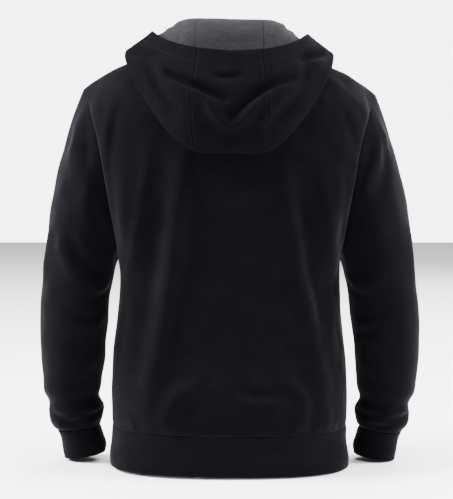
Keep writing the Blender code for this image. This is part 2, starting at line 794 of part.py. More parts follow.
def front_face(z):
    if z < BAND_SEAM_Z:
        return -column_of(rising(BAND_SECTIONS), max(z, HEM_Z), 3) - SEAM_GAP
    return zip_line(z)


def tape_grid(side):
    """The tape lies behind the front edge."""
    rows = []
    for edge, beside, depth in front_edge_rows():
        outward = (beside - edge).normalized()
        back = Vector((-outward.y, outward.x, 0)).normalized() * (depth + LAYER_GAP)
        row = [edge + outward * (x - FRONT_EDGE) + back for x in (TAPE_IN, FRONT_EDGE, TAPE_OUT)]
        rows.append([Vector((side * point.x, point.y, point.z)) for point in row])
    return rows if side > 0 else turned(rows)


def chain_mesh():
    """A bar of flat sides that follows the front edges."""
    bm = bmesh.new()
    rings = []
    for z in CHAIN_HEIGHTS:
        near = front_face(z) + CHAIN_SETBACK
        far = near + CHAIN_THICK
        corners = ((-CHAIN_HALF, near), (CHAIN_HALF, near), (CHAIN_HALF, far), (-CHAIN_HALF, far))
        rings.append([bm.verts.new((x, y, z)) for x, y in corners])
    for low, high in zip(rings, rings[1:]):
        for i in range(4):
            j = (i + 1) % 4
            bm.faces.new((low[i], low[j], high[j], high[i]))
    bm.faces.new(rings[0][::-1])
    bm.faces.new(rings[-1])
    mesh = bpy.data.meshes.new("zip_chain")
    bm.to_mesh(mesh)
    bm.free()
    return mesh


def slider_mesh():
    """A block with a bridge on its front. The pull's bar turns in the bridge's eye."""
    bm = bmesh.new()
    bmesh.ops.create_cube(bm, size=1.0)
    bmesh.ops.scale(bm, vec=SLIDER_SIZE, verts=bm.verts)
    bm.faces.ensure_lookup_table()
    front = min(bm.faces, key=lambda face: face.calc_center_median().y)
    bmesh.ops.inset_individual(bm, faces=[front], thickness=BRIDGE_INSET, use_even_offset=True)
    raised = bmesh.ops.extrude_discrete_faces(bm, faces=[front])["faces"][0]
    bmesh.ops.translate(bm, vec=(0, -BRIDGE_HEIGHT, 0), verts=raised.verts)
    bm.normal_update()
    level = -SLIDER_SIZE[1] / 2 - BRIDGE_HEIGHT / 2
    sides = [face for face in bm.faces
             if abs(face.normal.x) > 0.9 and face.calc_center_median().y < level + 1e-5]
    bmesh.ops.inset_individual(bm, faces=sides, thickness=BRIDGE_WALL, use_even_offset=True)
    edges = [edge for face in sides for edge in face.edges]
    bmesh.ops.delete(bm, geom=sides, context="FACES_ONLY")
    bmesh.ops.bridge_loops(bm, edges=edges)
    bmesh.ops.recalc_face_normals(bm, faces=bm.faces)
    mesh = bpy.data.meshes.new("zip_slider")
    bm.to_mesh(mesh)
    bm.free()
    return mesh


def pull_mesh():
    """A flat tab with an opening under its top bar. The bar's middle is the origin."""
    bm = bmesh.new()
    verts = [[bm.verts.new((x, 0, z)) for x in PULL_ACROSS] for z in PULL_ALONG]
    for vert in (verts[0][0], verts[0][-1]):
        vert.co.x *= 0.65
    eye = (3, 1)
    for k in range(len(PULL_ALONG) - 1):
        for i in range(len(PULL_ACROSS) - 1):
            if (k, i) != eye:
                bm.faces.new((verts[k][i], verts[k][i + 1], verts[k + 1][i + 1], verts[k + 1][i]))
    mesh = bpy.data.meshes.new("zip_pull")
    bm.to_mesh(mesh)
    bm.free()
    return mesh


# ---------------------------------------------------------------- pieces
def build_body(collection, fleece, band):
    grids = {name: posed(rows) for name, rows in body_grids().items()}
    for name, rows in grids.items():
        cloth_wall(name, rows, fleece, FLEECE, collection)
    cloth_wall("waistband", posed(band_grid()), band, BAND_CLOTH, collection)
    return grids


def build_sleeves(collection, fleece, band):
    grids = []
    for side, name in ((1, "left"), (-1, "right")):
        sleeve = outward_tube(posed(sleeve_grid(side)), side)
        cloth_wall(f"sleeve_{name}", sleeve, fleece, FLEECE, collection, closed=True)
        cuff = outward_tube(posed(cuff_grid(side)), side)
        cloth_wall(f"cuff_{name}", cuff, band, BAND_CLOTH, collection, closed=True)
        grids.append(sleeve)
    return grids


def rest_surface(grids, tubes):
    """The faces that the hood rests on."""
    points, faces = [], []
    for rows, closed in [(rows, False) for rows in grids] + [(rows, True) for rows in tubes]:
        start, columns = len(points), len(rows[0])
        points += [point for row in rows for point in row]
        for k in range(len(rows) - 1):
            for i in range(columns if closed else columns - 1):
                j = (i + 1) % columns
                low, high = start + k * columns, start + (k + 1) * columns
                faces.append((low + i, low + j, high + j, high + i))
    return BVHTree.FromPolygons(points, faces)


def build_hood(collection, fleece, jersey, tree):
    sheet = hood_sheet(tree)
    for name, rows in cut_in_panels(sheet).items():
        cloth_wall(f"hood_{name}", rows, fleece, FLEECE, collection)
    start, end = LINING_ROWS
    pieces = cut_in_panels(behind(sheet, FLEECE + LINING_GAP)[start:end + 1])
    pieces["side_left"] = [row[LINING_ENDS:] for row in pieces["side_left"]]
    pieces["side_right"] = [row[:-LINING_ENDS] for row in pieces["side_right"]]
    for name, rows in pieces.items():
        cloth_wall(f"hood_lining_{name}", rows, jersey, JERSEY, collection)


def add_piece(mesh, cloth, collection):
    obj = bpy.data.objects.new(mesh.name, mesh)
    collection.objects.link(obj)
    mesh.materials.append(cloth)
    return obj


def build_zip(collection, tape, metal):
    for side, name in ((1, "left"), (-1, "right")):
        cloth_wall(f"zip_tape_{name}", posed(tape_grid(side)), tape, TAPE_CLOTH, collection)
    add_piece(chain_mesh(), metal, collection)

    half = SLIDER_SIZE[2] / 2
    lean = -math.atan2(front_face(SLIDER_Z + half) - front_face(SLIDER_Z - half), 2 * half)
    turn = Matrix.Rotation(lean, 3, "X")
    face = Vector((0, front_face(SLIDER_Z), SLIDER_Z))
    slider = add_piece(slider_mesh(), metal, collection)
    slider.location = face + turn @ Vector((0, SLIDER_SETBACK - SLIDER_SIZE[1] / 2, 0))
    slider.rotation_euler = (lean, 0, 0)

    hinge = bpy.data.objects.new("pull_hinge", None)
    collection.objects.link(hinge)
    hinge.location = face + turn @ Vector((0, SLIDER_SETBACK - SLIDER_SIZE[1] - BRIDGE_HEIGHT / 2, 0))
    hinge.rotation_euler = (lean, 0, 0)
    pull = add_piece(pull_mesh(), metal, collection)
    pull.parent = hinge
    thick = pull.modifiers.new("thickness", "SOLIDIFY")
    thick.thickness = PULL_THICK
    thick.offset = 0.0
    for obj, width in ((slider, 0.0004), (pull, 0.0002)):
        soft = obj.modifiers.new("edges", "BEVEL")
        soft.width = width
        soft.segments = 2
        soft.limit_method = "ANGLE"


def main():
    clear_scene()
    collection = new_collection("hoodie")
    fleece = material("black_fleece", BLACK_FLEECE, 0.95)
    band = material("black_band_fleece", BLACK_BAND, 0.95)
    jersey = material("grey_jersey", GREY_JERSEY, 0.95)
    tape = material("black_tape", BLACK_TAPE, 0.80)
    metal = material("black_metal", BLACK_METAL, 0.35, 0.9)
    grids = build_body(collection, fleece, band)
    tubes = build_sleeves(collection, fleece, band)
    tree = rest_surface(list(grids.values()), tubes)
    build_hood(collection, fleece, jersey, tree)
    build_zip(collection, tape, metal)


main()
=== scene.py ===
import json
import math

import bpy
import numpy as np
from bpy.props import FloatProperty, FloatVectorProperty, PointerProperty
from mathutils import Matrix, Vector
from mathutils.bvhtree import BVHTree

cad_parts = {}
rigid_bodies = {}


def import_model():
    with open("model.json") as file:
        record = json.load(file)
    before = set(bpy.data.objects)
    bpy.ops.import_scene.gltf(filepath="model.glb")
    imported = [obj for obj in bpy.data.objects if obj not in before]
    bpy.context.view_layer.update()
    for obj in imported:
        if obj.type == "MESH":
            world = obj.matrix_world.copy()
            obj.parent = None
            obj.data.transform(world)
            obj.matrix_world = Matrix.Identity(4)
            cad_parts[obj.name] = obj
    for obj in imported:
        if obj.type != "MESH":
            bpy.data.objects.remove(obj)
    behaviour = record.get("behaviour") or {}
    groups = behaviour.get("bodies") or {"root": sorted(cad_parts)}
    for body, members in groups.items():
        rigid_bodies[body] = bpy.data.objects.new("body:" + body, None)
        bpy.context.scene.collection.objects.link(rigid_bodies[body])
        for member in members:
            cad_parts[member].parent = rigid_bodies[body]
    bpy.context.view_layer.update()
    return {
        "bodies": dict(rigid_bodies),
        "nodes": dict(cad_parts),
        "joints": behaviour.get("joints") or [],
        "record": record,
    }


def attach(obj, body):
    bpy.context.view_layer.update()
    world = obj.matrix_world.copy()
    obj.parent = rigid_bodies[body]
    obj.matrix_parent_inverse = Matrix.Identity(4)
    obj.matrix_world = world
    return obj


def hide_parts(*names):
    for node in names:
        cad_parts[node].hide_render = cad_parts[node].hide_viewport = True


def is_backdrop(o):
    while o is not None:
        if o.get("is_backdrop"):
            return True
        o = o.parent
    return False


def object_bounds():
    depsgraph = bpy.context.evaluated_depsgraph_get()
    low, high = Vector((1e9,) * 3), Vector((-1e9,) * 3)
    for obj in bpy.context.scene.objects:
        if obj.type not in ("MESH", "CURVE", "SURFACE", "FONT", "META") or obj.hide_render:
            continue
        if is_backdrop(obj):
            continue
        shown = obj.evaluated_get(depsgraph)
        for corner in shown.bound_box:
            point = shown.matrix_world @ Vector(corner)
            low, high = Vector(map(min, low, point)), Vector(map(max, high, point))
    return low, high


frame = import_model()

bl_info = {
    "name": "Zip-up hoodie",
    "version": (1, 0, 0),
    "blender": (4, 5, 0),
    "location": "View3D > Sidebar > Hoodie",
    "description": "A zip-up hoodie in its worn form: fleece panels, lined hood, sewing and zip",
    "category": "Add Mesh",
}

BODY = "garment"
SIDES = ((1, "left"), (-1, "right"))

# Gaps between the cut pieces
SEAM_GAP = 0.0002
SHOULDER_GAP = 0.0007
ARMHOLE_GAP = 0.0013
NECK_GAP = 0.0010
LAYER_GAP = 0.0004

# Depth of the fleece and of the waistband's turned cloth, behind which the zip's tapes lie
FLEECE = 0.0018
BAND_DEPTH = 0.0028

# Driving heights and widths, as in the solids
NECK_HALF = 0.080
NECK_Y = -0.002
NECK_Z = -0.004
BACK_NECK = (0.062, -0.028)
FRONT_NECK = (-0.100, -0.085)
SHOULDER_HALF = 0.235
SHOULDER_Z = -0.081
SHOULDER_EVEN = 0.85
SHOULDER_POWER = 6
SHOULDER_Y = -0.005
UNDERARM_Z = -0.345
BAND_SEAM_Z = -0.617
HEM_Z = -0.682
FRONT_EDGE = 0.0085
SHOULDER_TILT = 0.019
HEM_TILT = 0.006

# Steps of the cloths' grids
SHOULDER_STEPS = 42
BACK_NECK_STEPS = 24
FRONT_NECK_STEPS = 24
YOKE_STEPS = 80
LEVEL_STEPS = 8
SLEEVE_CAP_STEPS = 44
SLEEVE_STEPS = 96
CUFF_STEPS = 20
BAND_STEPS = 22
HOOD_INNER_STEPS = 45
HOOD_OUTER_STEPS = 64
HOOD_CENTRE_STEPS = 18
HOOD_SIDE_STEPS = 78

FRONT_STEPS = FRONT_NECK_STEPS + SHOULDER_STEPS
BACK_STEPS = BACK_NECK_STEPS + SHOULDER_STEPS

# Where the shoulder seam starts across each panel, at the front and at the back
SHOULDER_FROM = (FRONT_NECK_STEPS / FRONT_STEPS, BACK_NECK_STEPS / BACK_STEPS)

# Powers of the curves: the neckline's, and those of the rows across the body, where 1 is an ellipse
NECK_ROUND, NECK_DROP = 0.9, 1.2
BODY_ROUND, YOKE_ROUND_STEP, YOKE_DROP = 0.80, 0.05, 1.4

# Powers that bring rows closer together toward the shoulder and toward the sleeve's cap
YOKE_CLOSER, SLEEVE_CLOSER = 1.35, 1.25


def in_metres(rows, start=0, stop=None):
    """A table's rows with the values from start to stop turned from millimetres into metres."""
    table = []
    for row in rows:
        end = len(row) if stop is None else stop
        table.append((*row[:start], *(round(value / 1000, 7) for value in row[start:end]), *row[end:]))
    return tuple(table)


# The tables' lengths are in millimetres.
# Body below the armholes: height, half width, depth at the back and at the front
BODY_SECTIONS = in_metres((
    # z, half width, back, front
    (-617, 189, 122, 124),
    (-600, 190.5, 131, 130),
    (-570, 190.5, 130, 132),
    (-520, 189, 120, 130),
    (-460, 183, 114, 128),
    (-400, 177.5, 115, 128),
    (-345, 177, 120, 128),
))

# Rows above the underarm. The edge lies on the armhole and the middle on the centre line.
YOKE_SECTIONS = in_metres((
    # edge x, edge z, back: edge y, middle y, middle z; front: edge y, middle y, middle z
    (178.5, -330, 45, 122, -315, -42, -128, -325),
    (184, -290, 66, 124, -265, -60, -127, -285),
    (194, -230, 77, 123, -205, -68, -124, -235),
    (206, -165, 70, 117, -145, -62, -118, -185),
    (221, -112, 44, 103, -88, -42, -110, -140),
))

# How far apart the rows lie along the panel: the rows of the yoke, and those at its top edge
YOKE_RUNS = (0.030, 0.050, 0.060, 0.062, 0.060)
TOP_RUNS = (0.040, 0.066, 0.092)
BODY_LEVELS = (0.0, 0.010, 0.020, 0.034, 0.052, 0.074, 0.100, 0.128, 0.158, 0.188, 0.216, 0.244)

# How far the cloth runs from the top edge to the row below it: out, back or forward, and down
LEAVING = {
    # back: out, along y and down at the neckline's middle; the same at its high point; shoulder; tip
    True: in_metres(((0, 15, -22), (16, 10, -7), (3, 26, -6), (-4, 20, -11))),
    False: in_metres(((0, -7, -26), (13, -12, -7), (3, -26, -6), (-4, -20, -11))),
}

# Waistband: height, half width, depth at the back and at the front
BAND_SECTIONS = in_metres((
    # z, half width, back, front
    (-617.4, 189.8, 122.8, 124.8),
    (-639, 190.5, 121.5, 123.5),
    (-665, 194.5, 123.5, 125.5),
    (-682, 193.8, 122.5, 124.5),
))

# How the sleeve leaves the armhole: outward at the underarm and the shoulder, to the back, down
ARM_OUT = (0.45, 0.32)
ARM_TURN = 0.12
ARM_DOWN = 0.75

# How far below its first ring the sleeve's heading is taken
HEADING_STEP = 0.01

# Sleeve below the underarm and the cuff: the middle of each ring, its half width and half depth,
# and how far it slopes outward, as a share of its half width
SLEEVE_SECTIONS = in_metres((
    # z, middle x, middle y, half width, half depth, fall to the outside
    (-378, 242.8, 10, 56.8, 70, 0),
    (-420, 247.5, 15, 55.2, 64, 0),
    (-460, 251.2, 15, 54.5, 60, 0),
    (-500, 253.5, 9, 52, 56, 0.03),
    (-540, 255, 0, 48.8, 52, 0.06),
    (-562, 255.5, -6, 47, 49.5, 0.08),
    (-580, 253.5, -12, 41, 44, 0.1),
    (-598, 250.7, -18, 45.2, 48, 0.11),
    (-616, 250.5, -23, 42.5, 45, 0.12),
    (-630, 248, -27, 34.5, 36.5, 0.12),
), 0, 5)
CUFF_SECTIONS = in_metres((
    # z, middle x, middle y, half width, half depth, fall to the outside
    (-630.6, 247.8, -27, 35.2, 37.2, 0.12),
    (-645, 243.5, -31, 34.8, 36.5, 0.13),
    (-662, 240, -35, 35.8, 37.2, 0.14),
    (-678, 239.5, -38, 33.8, 35.2, 0.15),
), 0, 5)

# Hood lying on the shoulders, in stations on the left from the middle of the back to the zip
HOOD_STATIONS = in_metres((
    # place, along the neck, crest x, y, z, fold x, y, z, rim x, y, z, crest roll, fold roll, bulge
    (0, 0, 0, 83, 26, 0, 160, -181, 0, 152, -24, 13, 16, 20),
    (1, 0.14, 48, 78, 27, 50, 158, -178, 49, 146, -20, 13, 16, 19),
    (2, 0.24, 72, 58, 26, 78, 150, -162, 79, 122, -13, 12, 15, 17),
    (3, 0.34, 91, 34, 16, 111, 130, -124, 104, 84, -2, 9, 13, 14),
    (4, 0.45, 99, 12, 9, 143, 90, -71, 120, 46, 10, 8, 11, 6),
    (5, 0.56, 100, -18, 3.5, 154, 20, -30, 122, 6, 12.5, 6, 10, 1),
    (6, 0.7, 86, -62, -21, 120, -64, -32, 101, -48, 1.5, 3, 8, 2),
    (7, 0.85, 50, -91, -58, 60, -99, -49, 58, -90, -23, 0, 2, 3),
    (8, 1, 9, -101.4, -76, 9.8, -104, -67, 11.5, -106, -44, 0, 1, 0),
), 2)

# How far the rim's hem reaches
CASING = 0.024

# Turned edges: seams dip between two pieces, hems are folded to the back, and the edges at the zip
# turn in. Radii and runs are in metres, turns in degrees.
SEAM_RADIUS = 0.0016
SEAM_TURN = 30
SIDE_TURN = 14
UNDER_TURN = 62
UNDER_RUN = 0.0020
SEAM_DIP = 0.0006
HOOD_SEAM_RADIUS = 0.0007
HOOD_SEAM_TURN = 22
JERSEY_RADIUS = 0.0010
JERSEY_TURN = 62
JERSEY_DIP = 0.0003
JERSEY_GAP = 0.0005
RIM_RADIUS = 0.0021
HEM_RADIUS = 0.0016
HEM_DEPTH = 0.020
TURN_STEPS = 4
EDGE_RADIUS = 0.0009
FRONT_EDGE_RUN = 0.0006
BAND_EDGE_RUN = 0.0012

# The lining lies this far behind the hood's outer face, and ends this many rows from its edges
LINING_DEPTH = 0.0015
LINING_FROM, LINING_SHORT = 3, 7

# The guide at which the hood's cloth folds over, and the least run from one guide to the next
FOLD_GUIDE = 6
LEAST_RUN = 0.0005

# The hood's height above the garment at the neck seam, and after these rows
REST_FROM, REST_TO = 0.0009, 0.0046
REST_STEPS = 12

# Where the back is evened out below the armholes: the spot, its reach, the rounds and, in rows and
# columns, how it comes in from the edges
UNDERARM = (0.160, -0.345)
UNDERARM_REACH = (0.030, 0.030)
SOFTENINGS = 60
SOFTEN_FADE = 2

# Waves of a hanging cloth and of the puckers at a seam: lengths and shares
SLACK_WAVES = ((0.120, 0.45), (0.071, 0.30), (0.041, 0.18), (0.024, 0.08))
PUCKER_WAVES = ((0.0330, 0.5), (0.0197, 0.3), (0.0520, 0.4))

# Unevenness of each cloth: where its waves start, and their height
SLACK = {
    "back": (1.0, 0.0016), "front": (3.0, 0.0014), "sleeve": (6.0, 0.0013),
    "hood": (9.0, 0.0011), "cuff": (12.0, 0.0008), "band": (15.0, 0.0009),
}

# Rows from a cloth's first and last row, and columns, over which its unevenness comes in
FADES = {
    "back": (6, 7, 6, 6), "front": (6, 7, 5, 9), "sleeve": (9, 5),
    "hood": (12, 2, 6, 6), "cuff": (3, 4), "band": (5, 4, 5, 5),
}

# Puckers along a seam: how far they run from it, and their height
BODY_PUCKERS = (0.022, 0.0011)
SLEEVE_PUCKERS = (0.014, 0.0010)
CUFF_PUCKERS = (0.012, 0.0007)
BAND_PUCKERS = (0.012, 0.0006)

# A fold's curve runs over this many points, and its two sides blend over this share of its length.
# This share is cut from each end of its rise and fall, which this power makes steeper.
FOLD_POINTS = 9
FOLD_BLEND = 0.002
FOLD_END = 0.08
FOLD_FADE = 0.7

# Folds: three places along each (x, z), the widths of its two sides and its height.
# Ridges stand above 0 and troughs lie below. Looked at along the fold, the first side is the left one.
BACK_FOLDS = in_metres((
    (70, -190, 87, -345, 91, -400, 19, 14, 12.5),
    (89, -375, 106, -470, 130, -572, 20, 15, 13),
    (97, -235, 121, -360, 130, -430, 12, 12, -4),
    (70, -330, 82, -420, 98, -520, 14, 14, -4),
    (166, -205, 160, -275, 161, -350, 11, 24, 8),
    (-166, -205, -160, -275, -161, -350, 24, 11, 8),
    (125, -175, 139, -292, 157, -380, 9, 14, 5),
    (172, -105, 184, -158, 186, -220, 9, 9, -3.2),
    (180, -100, 191, -146, 193, -190, 7, 8, 2.6),
    (-85, -215, -105, -354, -122, -430, 20, 12, 7.5),
    (-119, -400, -136, -500, -148, -592, 18, 13, 8),
    (-106, -250, -128, -370, -140, -470, 10, 10, -3.5),
    (-143, -210, -153, -298, -160, -372, 12, 9, 4),
    (-176, -112, -186, -143, -196, -172, 9, 9, -3.5),
    (-16, -546, -48, -552.5, -82, -550, 10, 12, -7),
    (-22, -562, -50, -568, -84, -566, 12, 11, 4.5),
    (-92, -535, -112, -560, -114, -592, 11, 9, 7.5),
    (48, -532, 80, -553, 98, -584, 13, 12, 7.5),
    (30, -560, 52, -575, 64, -600, 10, 10, -4),
    (50, -548, -10, -542, -78, -548, 22, 16, 4),
    (52, -592, -10, -598, -80, -592, 16, 24, -4.5),
    (4, -260, 12, -360, 6, -450, 30, 34, -5),
    (-40, -220, -52, -300, -50, -400, 22, 22, 3),
    (40, -210, 46, -290, 50, -380, 16, 18, -3),
    (150, -395, 152, -450, 164, -520, 12, 12, 4),
    (-158, -420, -160, -480, -169, -545, 12, 12, 3.5),
))

# Folds of the left front; those of the right front lie a little higher
RIGHT_FOLDS_UP = 0.012
FRONT_FOLDS = in_metres((
    (90, -215, 110, -330, 120, -425, 18, 13, 7),
    (119, -410, 128, -490, 141, -575, 18, 12, 7.5),
    (168, -288, 142, -238, 112, -185, 10, 14, 6),
    (160, -330, 130, -290, 100, -262, 10, 10, -3.5),
    (50, -552, 72, -566, 100, -594, 10, 9, 5),
    (40, -250, 46, -350, 42, -470, 18, 22, 3),
    (70, -400, 78, -470, 90, -560, 14, 14, -3),
    (148, -380, 150, -450, 160, -540, 12, 10, 3.5),
))

# Folds of the sleeves, by side: three places of an angle from the underarm over the back, in degrees,
# and a height, the widths of the two sides and the fold's height
SLEEVE_RADIUS = 0.055
SLEEVE_FOLDS = {
    1: (
        (20, -383, 45, -391, 86, -370, 10, 14, 6),
        (15, -393, 38, -404, 62, -414, 9, 8, -4.5),
        (40, -436, 66, -438, 92, -430, 8, 9, -4),
        (18, -430, 44, -446, 76, -462, 11, 9, 3.5),
        (138, -120, 126, -165, 106, -215, 11, 16, 5.5),
        (116, -110, 102, -165, 84, -215, 9, 9, -4.5),
        (122, -300, 104, -352, 70, -386, 10, 11, 5),
        (100, -305, 82, -345, 48, -370, 12, 10, -4.5),
        (92, -190, 84, -240, 70, -290, 14, 12, 4.5),
        (105, -606, 125, -604, 146, -602, 6, 8, -4.5),
        (12, -597, 42, -604, 70, -603, 6, 8, -4.5),
        (76, -611, 98, -614, 120, -617, 5, 7, -4),
        (155, -300, 152, -340, 155, -380, 8, 12, 3.5),
        (30, -500, 60, -520, 90, -528, 12, 12, 3),
        (200, -405, 232, -396, 262, -380, 10, 14, 6),
        (280, -432, 312, -424, 345, -405, 9, 10, -5),
        (210, -595, 250, -603, 300, -592, 7, 9, -5),
        (240, -180, 252, -240, 270, -290, 14, 14, 5),
    ),
    -1: (
        (20, -378, 52, -391, 84, -370, 10, 14, 6),
        (15, -385, 36, -395, 60, -401, 9, 8, -4.5),
        (36, -438, 58, -436.5, 80, -433, 8, 9, -4.5),
        (20, -478, 44, -465, 70, -456, 8, 9, -4.5),
        (16, -455, 40, -450, 64, -447, 10, 10, 3.5),
        (125, -145, 104, -190, 74, -232, 8, 8, 4.5),
        (108, -140, 86, -190, 58, -225, 8, 8, -4.5),
        (139, -165, 120, -205, 94, -245, 9, 10, -4.5),
        (142, -115, 138, -150, 134, -190, 8, 8, 4),
        (14, -596, 46, -602, 80, -601, 6, 8, -4.5),
        (94, -608, 128, -607, 160, -602, 6, 8, -4.5),
        (60, -617, 84, -621, 106, -620, 5, 7, -4),
        (155, -300, 152, -340, 155, -380, 8, 12, 3.5),
        (28, -510, 58, -524, 88, -530, 12, 12, 3),
        (208, -392, 240, -400, 272, -396, 10, 14, 6),
        (282, -444, 316, -432, 348, -420, 9, 10, -4.5),
        (215, -590, 262, -600, 312, -594, 7, 9, -5),
        (238, -170, 250, -235, 268, -290, 14, 14, 5),
    ),
}

# Folds of the hood's outer layer, at the back, and how they come in: in rows from the fold and from
# the rim, and from a depth on, over a twentieth of a metre
HOOD_FOLD_FADE = (9, 8)
HOOD_FOLDS_FROM = 0.02
HOOD_FOLDS_RISE = 20
HOOD_FOLDS = in_metres((
    (92, -58, 52, -77, 6, -99, 6, 6.2, -16),
    (-98, -64, -50, -82, -1, -126, 7.5, 7, -14),
    (80, -72, 48, -89, 16, -108, 9, 11, 6),
    (-84, -80, -52, -97, -22, -122, 9, 11, 6),
    (30, -108, -2, -138, -38, -108, 6.5, 8, 10.8),
    (168, -11, 140, -21, 108, -31, 7.5, 5, -8.5),
    (-168, -13, -140, -23.5, -108, -34, 5, 7.5, -8.5),
    (22, -62, 3, -64.5, -16, -62, 5, 5, -5.5),
    (124, -40, 105, -82, 78, -112, 9, 9, -7.5),
    (110, -40, 92, -74, 70, -98, 10, 10, 5),
    (-123, -30, -118, -50, -110, -72, 8, 8, -6),
    (-116, -82, -88, -110, -62, -138, 10, 9, -7.5),
    (-103, -80, -78, -103, -56, -125, 9, 9, 5),
    (20, -150, -4, -158, -30, -150, 10, 14, -4.5),
))

# Folds of the lining above the neck, raised from the hood's inner face
LINING_FOLDS = in_metres((
    (-84, 22, -73, 10, -56, -2, 6, 3.5, 3.6),
    (-98, 10, -86, -2, -72, -14, 3.5, 7, 3.6),
    (98, 16, 86, 4, 74, -10, 7, 4, 3),
    (80, 22, 71, 7, 61, -10, 4, 7, 2.6),
    (34, 18, 6, 14, -20, 17, 5, 3, 2.6),
    (14, 4, -14, 2, -38, 7, 5, 3, 2.6),
))

# The cut of what shows of each cloth, flat: width and length, and its area where it isn't a rectangle
BACK_CUT, BACK_AREA = (0.560, 0.690), 0.330
FRONT_CUT, FRONT_AREA = (0.290, 0.680), 0.160
SLEEVE_CUT, SLEEVE_AREA = (0.420, 0.600), 0.185
CUFF_CUT = (0.226, 0.050)
BAND_CUT = (1.020, 0.066)
HOOD_CENTRE_CUT = (0.105, 0.520)
HOOD_SIDE_CUT, HOOD_SIDE_AREA = (0.380, 0.360), 0.078
TAPE_CUT = (0.0162, 0.620)

# Zip: the tapes, from the middle outward
TAPE_IN = 0.0008
TAPE_OUT = 0.0170
TAPE_STEPS = 6
TAPE_CLOTH = 0.0008

# Teeth: sizes, the share of the depth at the head, and how far they stand from the middle
TOOTH_LENGTH = 0.0040
TOOTH_DEPTH = 0.0022
TOOTH_HEAD = 0.72
TOOTH_ROUNDING = 0.00028
TOOTH_REACH = 0.0009
OPEN_REACH = 0.0022
CHAIN_SETBACK = 0.0008
ZIP_TOP = -0.088

# Rounds in which the place of a tooth along the front edge is closed in on
HALVINGS = 40

# Where the slider sits, and half of its height
SLIDER_Z = -0.104
SLIDER_HALF = 0.0095

# Stitches: how far the ends dip and how high the middle lies, in thicknesses of the thread
STITCH_DIP, STITCH_RISE = 0.6, 0.3

# Colours
BLACK_FLEECE = (0.00165, 0.00145, 0.0022)
BLACK_BAND = (0.0019, 0.0017, 0.0025)
GREY_JERSEY = (0.0102, 0.0098, 0.0116)
BLACK_TAPE = (0.0024, 0.0023, 0.0028)
BLACK_METAL = (0.0085, 0.0085, 0.0095)
THREAD = (0.0032, 0.0030, 0.0038)
SHEEN_TINT = (0.93, 0.90, 1.0, 1.0)

# The photograph's view: the camera's place, its focal length in pixels, and its aim
IMAGE_SIZE = (453, 499)
CAMERA_PLACE = (0.0, 2.4, -0.178)
FOCAL = 1487
AIM = (229.5, 152.5)
SENSOR = 36.0

# The stage
FLOOR_DROP = 0.0006
FLOOR_SIZE = 12
LIGHTS_AIM = (0.0, 0.0, -0.32)
SOFTBOXES = (
    # name, place, size, power in watts
    ("softbox_left", (2.3, 0.38, 1.2), 1.3, 470),
    ("softbox_right", (-2.3, 0.42, 1.2), 1.5, 340),
    ("softbox_front", (-1.2, -2.6, 1.6), 1.8, 200),
    ("softbox_top", (0.0, 0.0, 2.4), 1.8, 110),
    ("softbox_fill", (0.1, 2.5, 2.0), 1.6, 82),
)


# ---- what a user sets
def length(name, description, default, low, high):
    return FloatProperty(name=name, description=description, default=default, min=low, max=high,
                         unit="LENGTH", precision=4)


def colour(name, description, default):
    return FloatVectorProperty(name=name, description=description, default=default, size=3, min=0, max=1,
                               subtype="COLOR")


class HoodieClothSettings(bpy.types.PropertyGroup):
    """Sizes and colours of the cloths."""

    fleece: length("Fleece", "Thickness of the fleece and of the bands", 0.0012, 0.0006, 0.0018)
    jersey: length("Jersey", "Thickness of the hood's lining", 0.0006, 0.0003, 0.0010)
    folds: FloatProperty(name="Folds", description="Depth of the worn folds, 1 as in the photograph",
                         default=1.0, min=0.0, max=1.3, subtype="FACTOR")
    fleece_colour: colour("Fleece colour", "Colour of the brushed fleece", BLACK_FLEECE)
    band_colour: colour("Band colour", "Colour of the waistband and cuffs", BLACK_BAND)
    jersey_colour: colour("Lining colour", "Colour of the heather lining", GREY_JERSEY)


class HoodieSewingSettings(bpy.types.PropertyGroup):
    """Sizes and colour of the stitching."""

    stitch_pitch: length("Stitch pitch", "From one stitch to the next", 0.0032, 0.002, 0.006)
    stitch_length: length("Stitch", "Length of the thread that shows in one stitch", 0.0025, 0.0015, 0.005)
    thread: length("Thread", "Thickness of the sewing thread", 0.0005, 0.0003, 0.0009)
    rim_line: length("Rim stitching", "From the hood's rim to its line of stitches", CASING, 0.015, 0.035)
    seam_line: length("Seam stitching", "From the hood's seams to their stitches", 0.0032, 0.002, 0.008)
    zip_line: length("Zip stitching", "From the front edges to their line of stitches", 0.0060, 0.004, 0.010)
    thread_colour: colour("Thread colour", "Colour of the sewing thread", THREAD)


class HoodieZipSettings(bpy.types.PropertyGroup):
    """Sizes and colours of the zip."""

    pitch: length("Tooth pitch", "From one tooth to the next on the same tape", 0.0030, 0.002, 0.005)
    tooth: length("Tooth", "Height of one tooth along the zip", 0.0012, 0.0008, 0.0020)
    tape_colour: colour("Tape colour", "Colour of the zip's tapes", BLACK_TAPE)
    metal_colour: colour("Zip colour", "Colour of the teeth, slider and pull", BLACK_METAL)


class HoodieStageSettings(bpy.types.PropertyGroup):
    """The floor and the light."""

    floor_colour: colour("Floor", "Colour of the floor", (0.90, 0.90, 0.90))
    daylight: FloatProperty(name="Daylight", description="Strength of the pale surroundings",
                            default=0.62, min=0.0, max=6.0)
    backdrop: FloatProperty(name="Backdrop", description="Brightness of the surroundings behind the hoodie",
                            default=6.0, min=0.0, max=12.0)
    softboxes: FloatProperty(name="Softboxes", description="Power of the softboxes, 1 as listed",
                             default=1.0, min=0.0, max=9.0)


# ---- curves
def mix(a, b, share):
    return a + (b - a) * share


def eased_between(start, leave, end, arrive, share):
    """The point at a share of the curve from start to end with these directions at its ends."""
    cube, square = share**3, share**2
    return (start * (2 * cube - 3 * square + 1) + leave * (cube - 2 * square + share)
            + end * (3 * square - 2 * cube) + arrive * (cube - square))


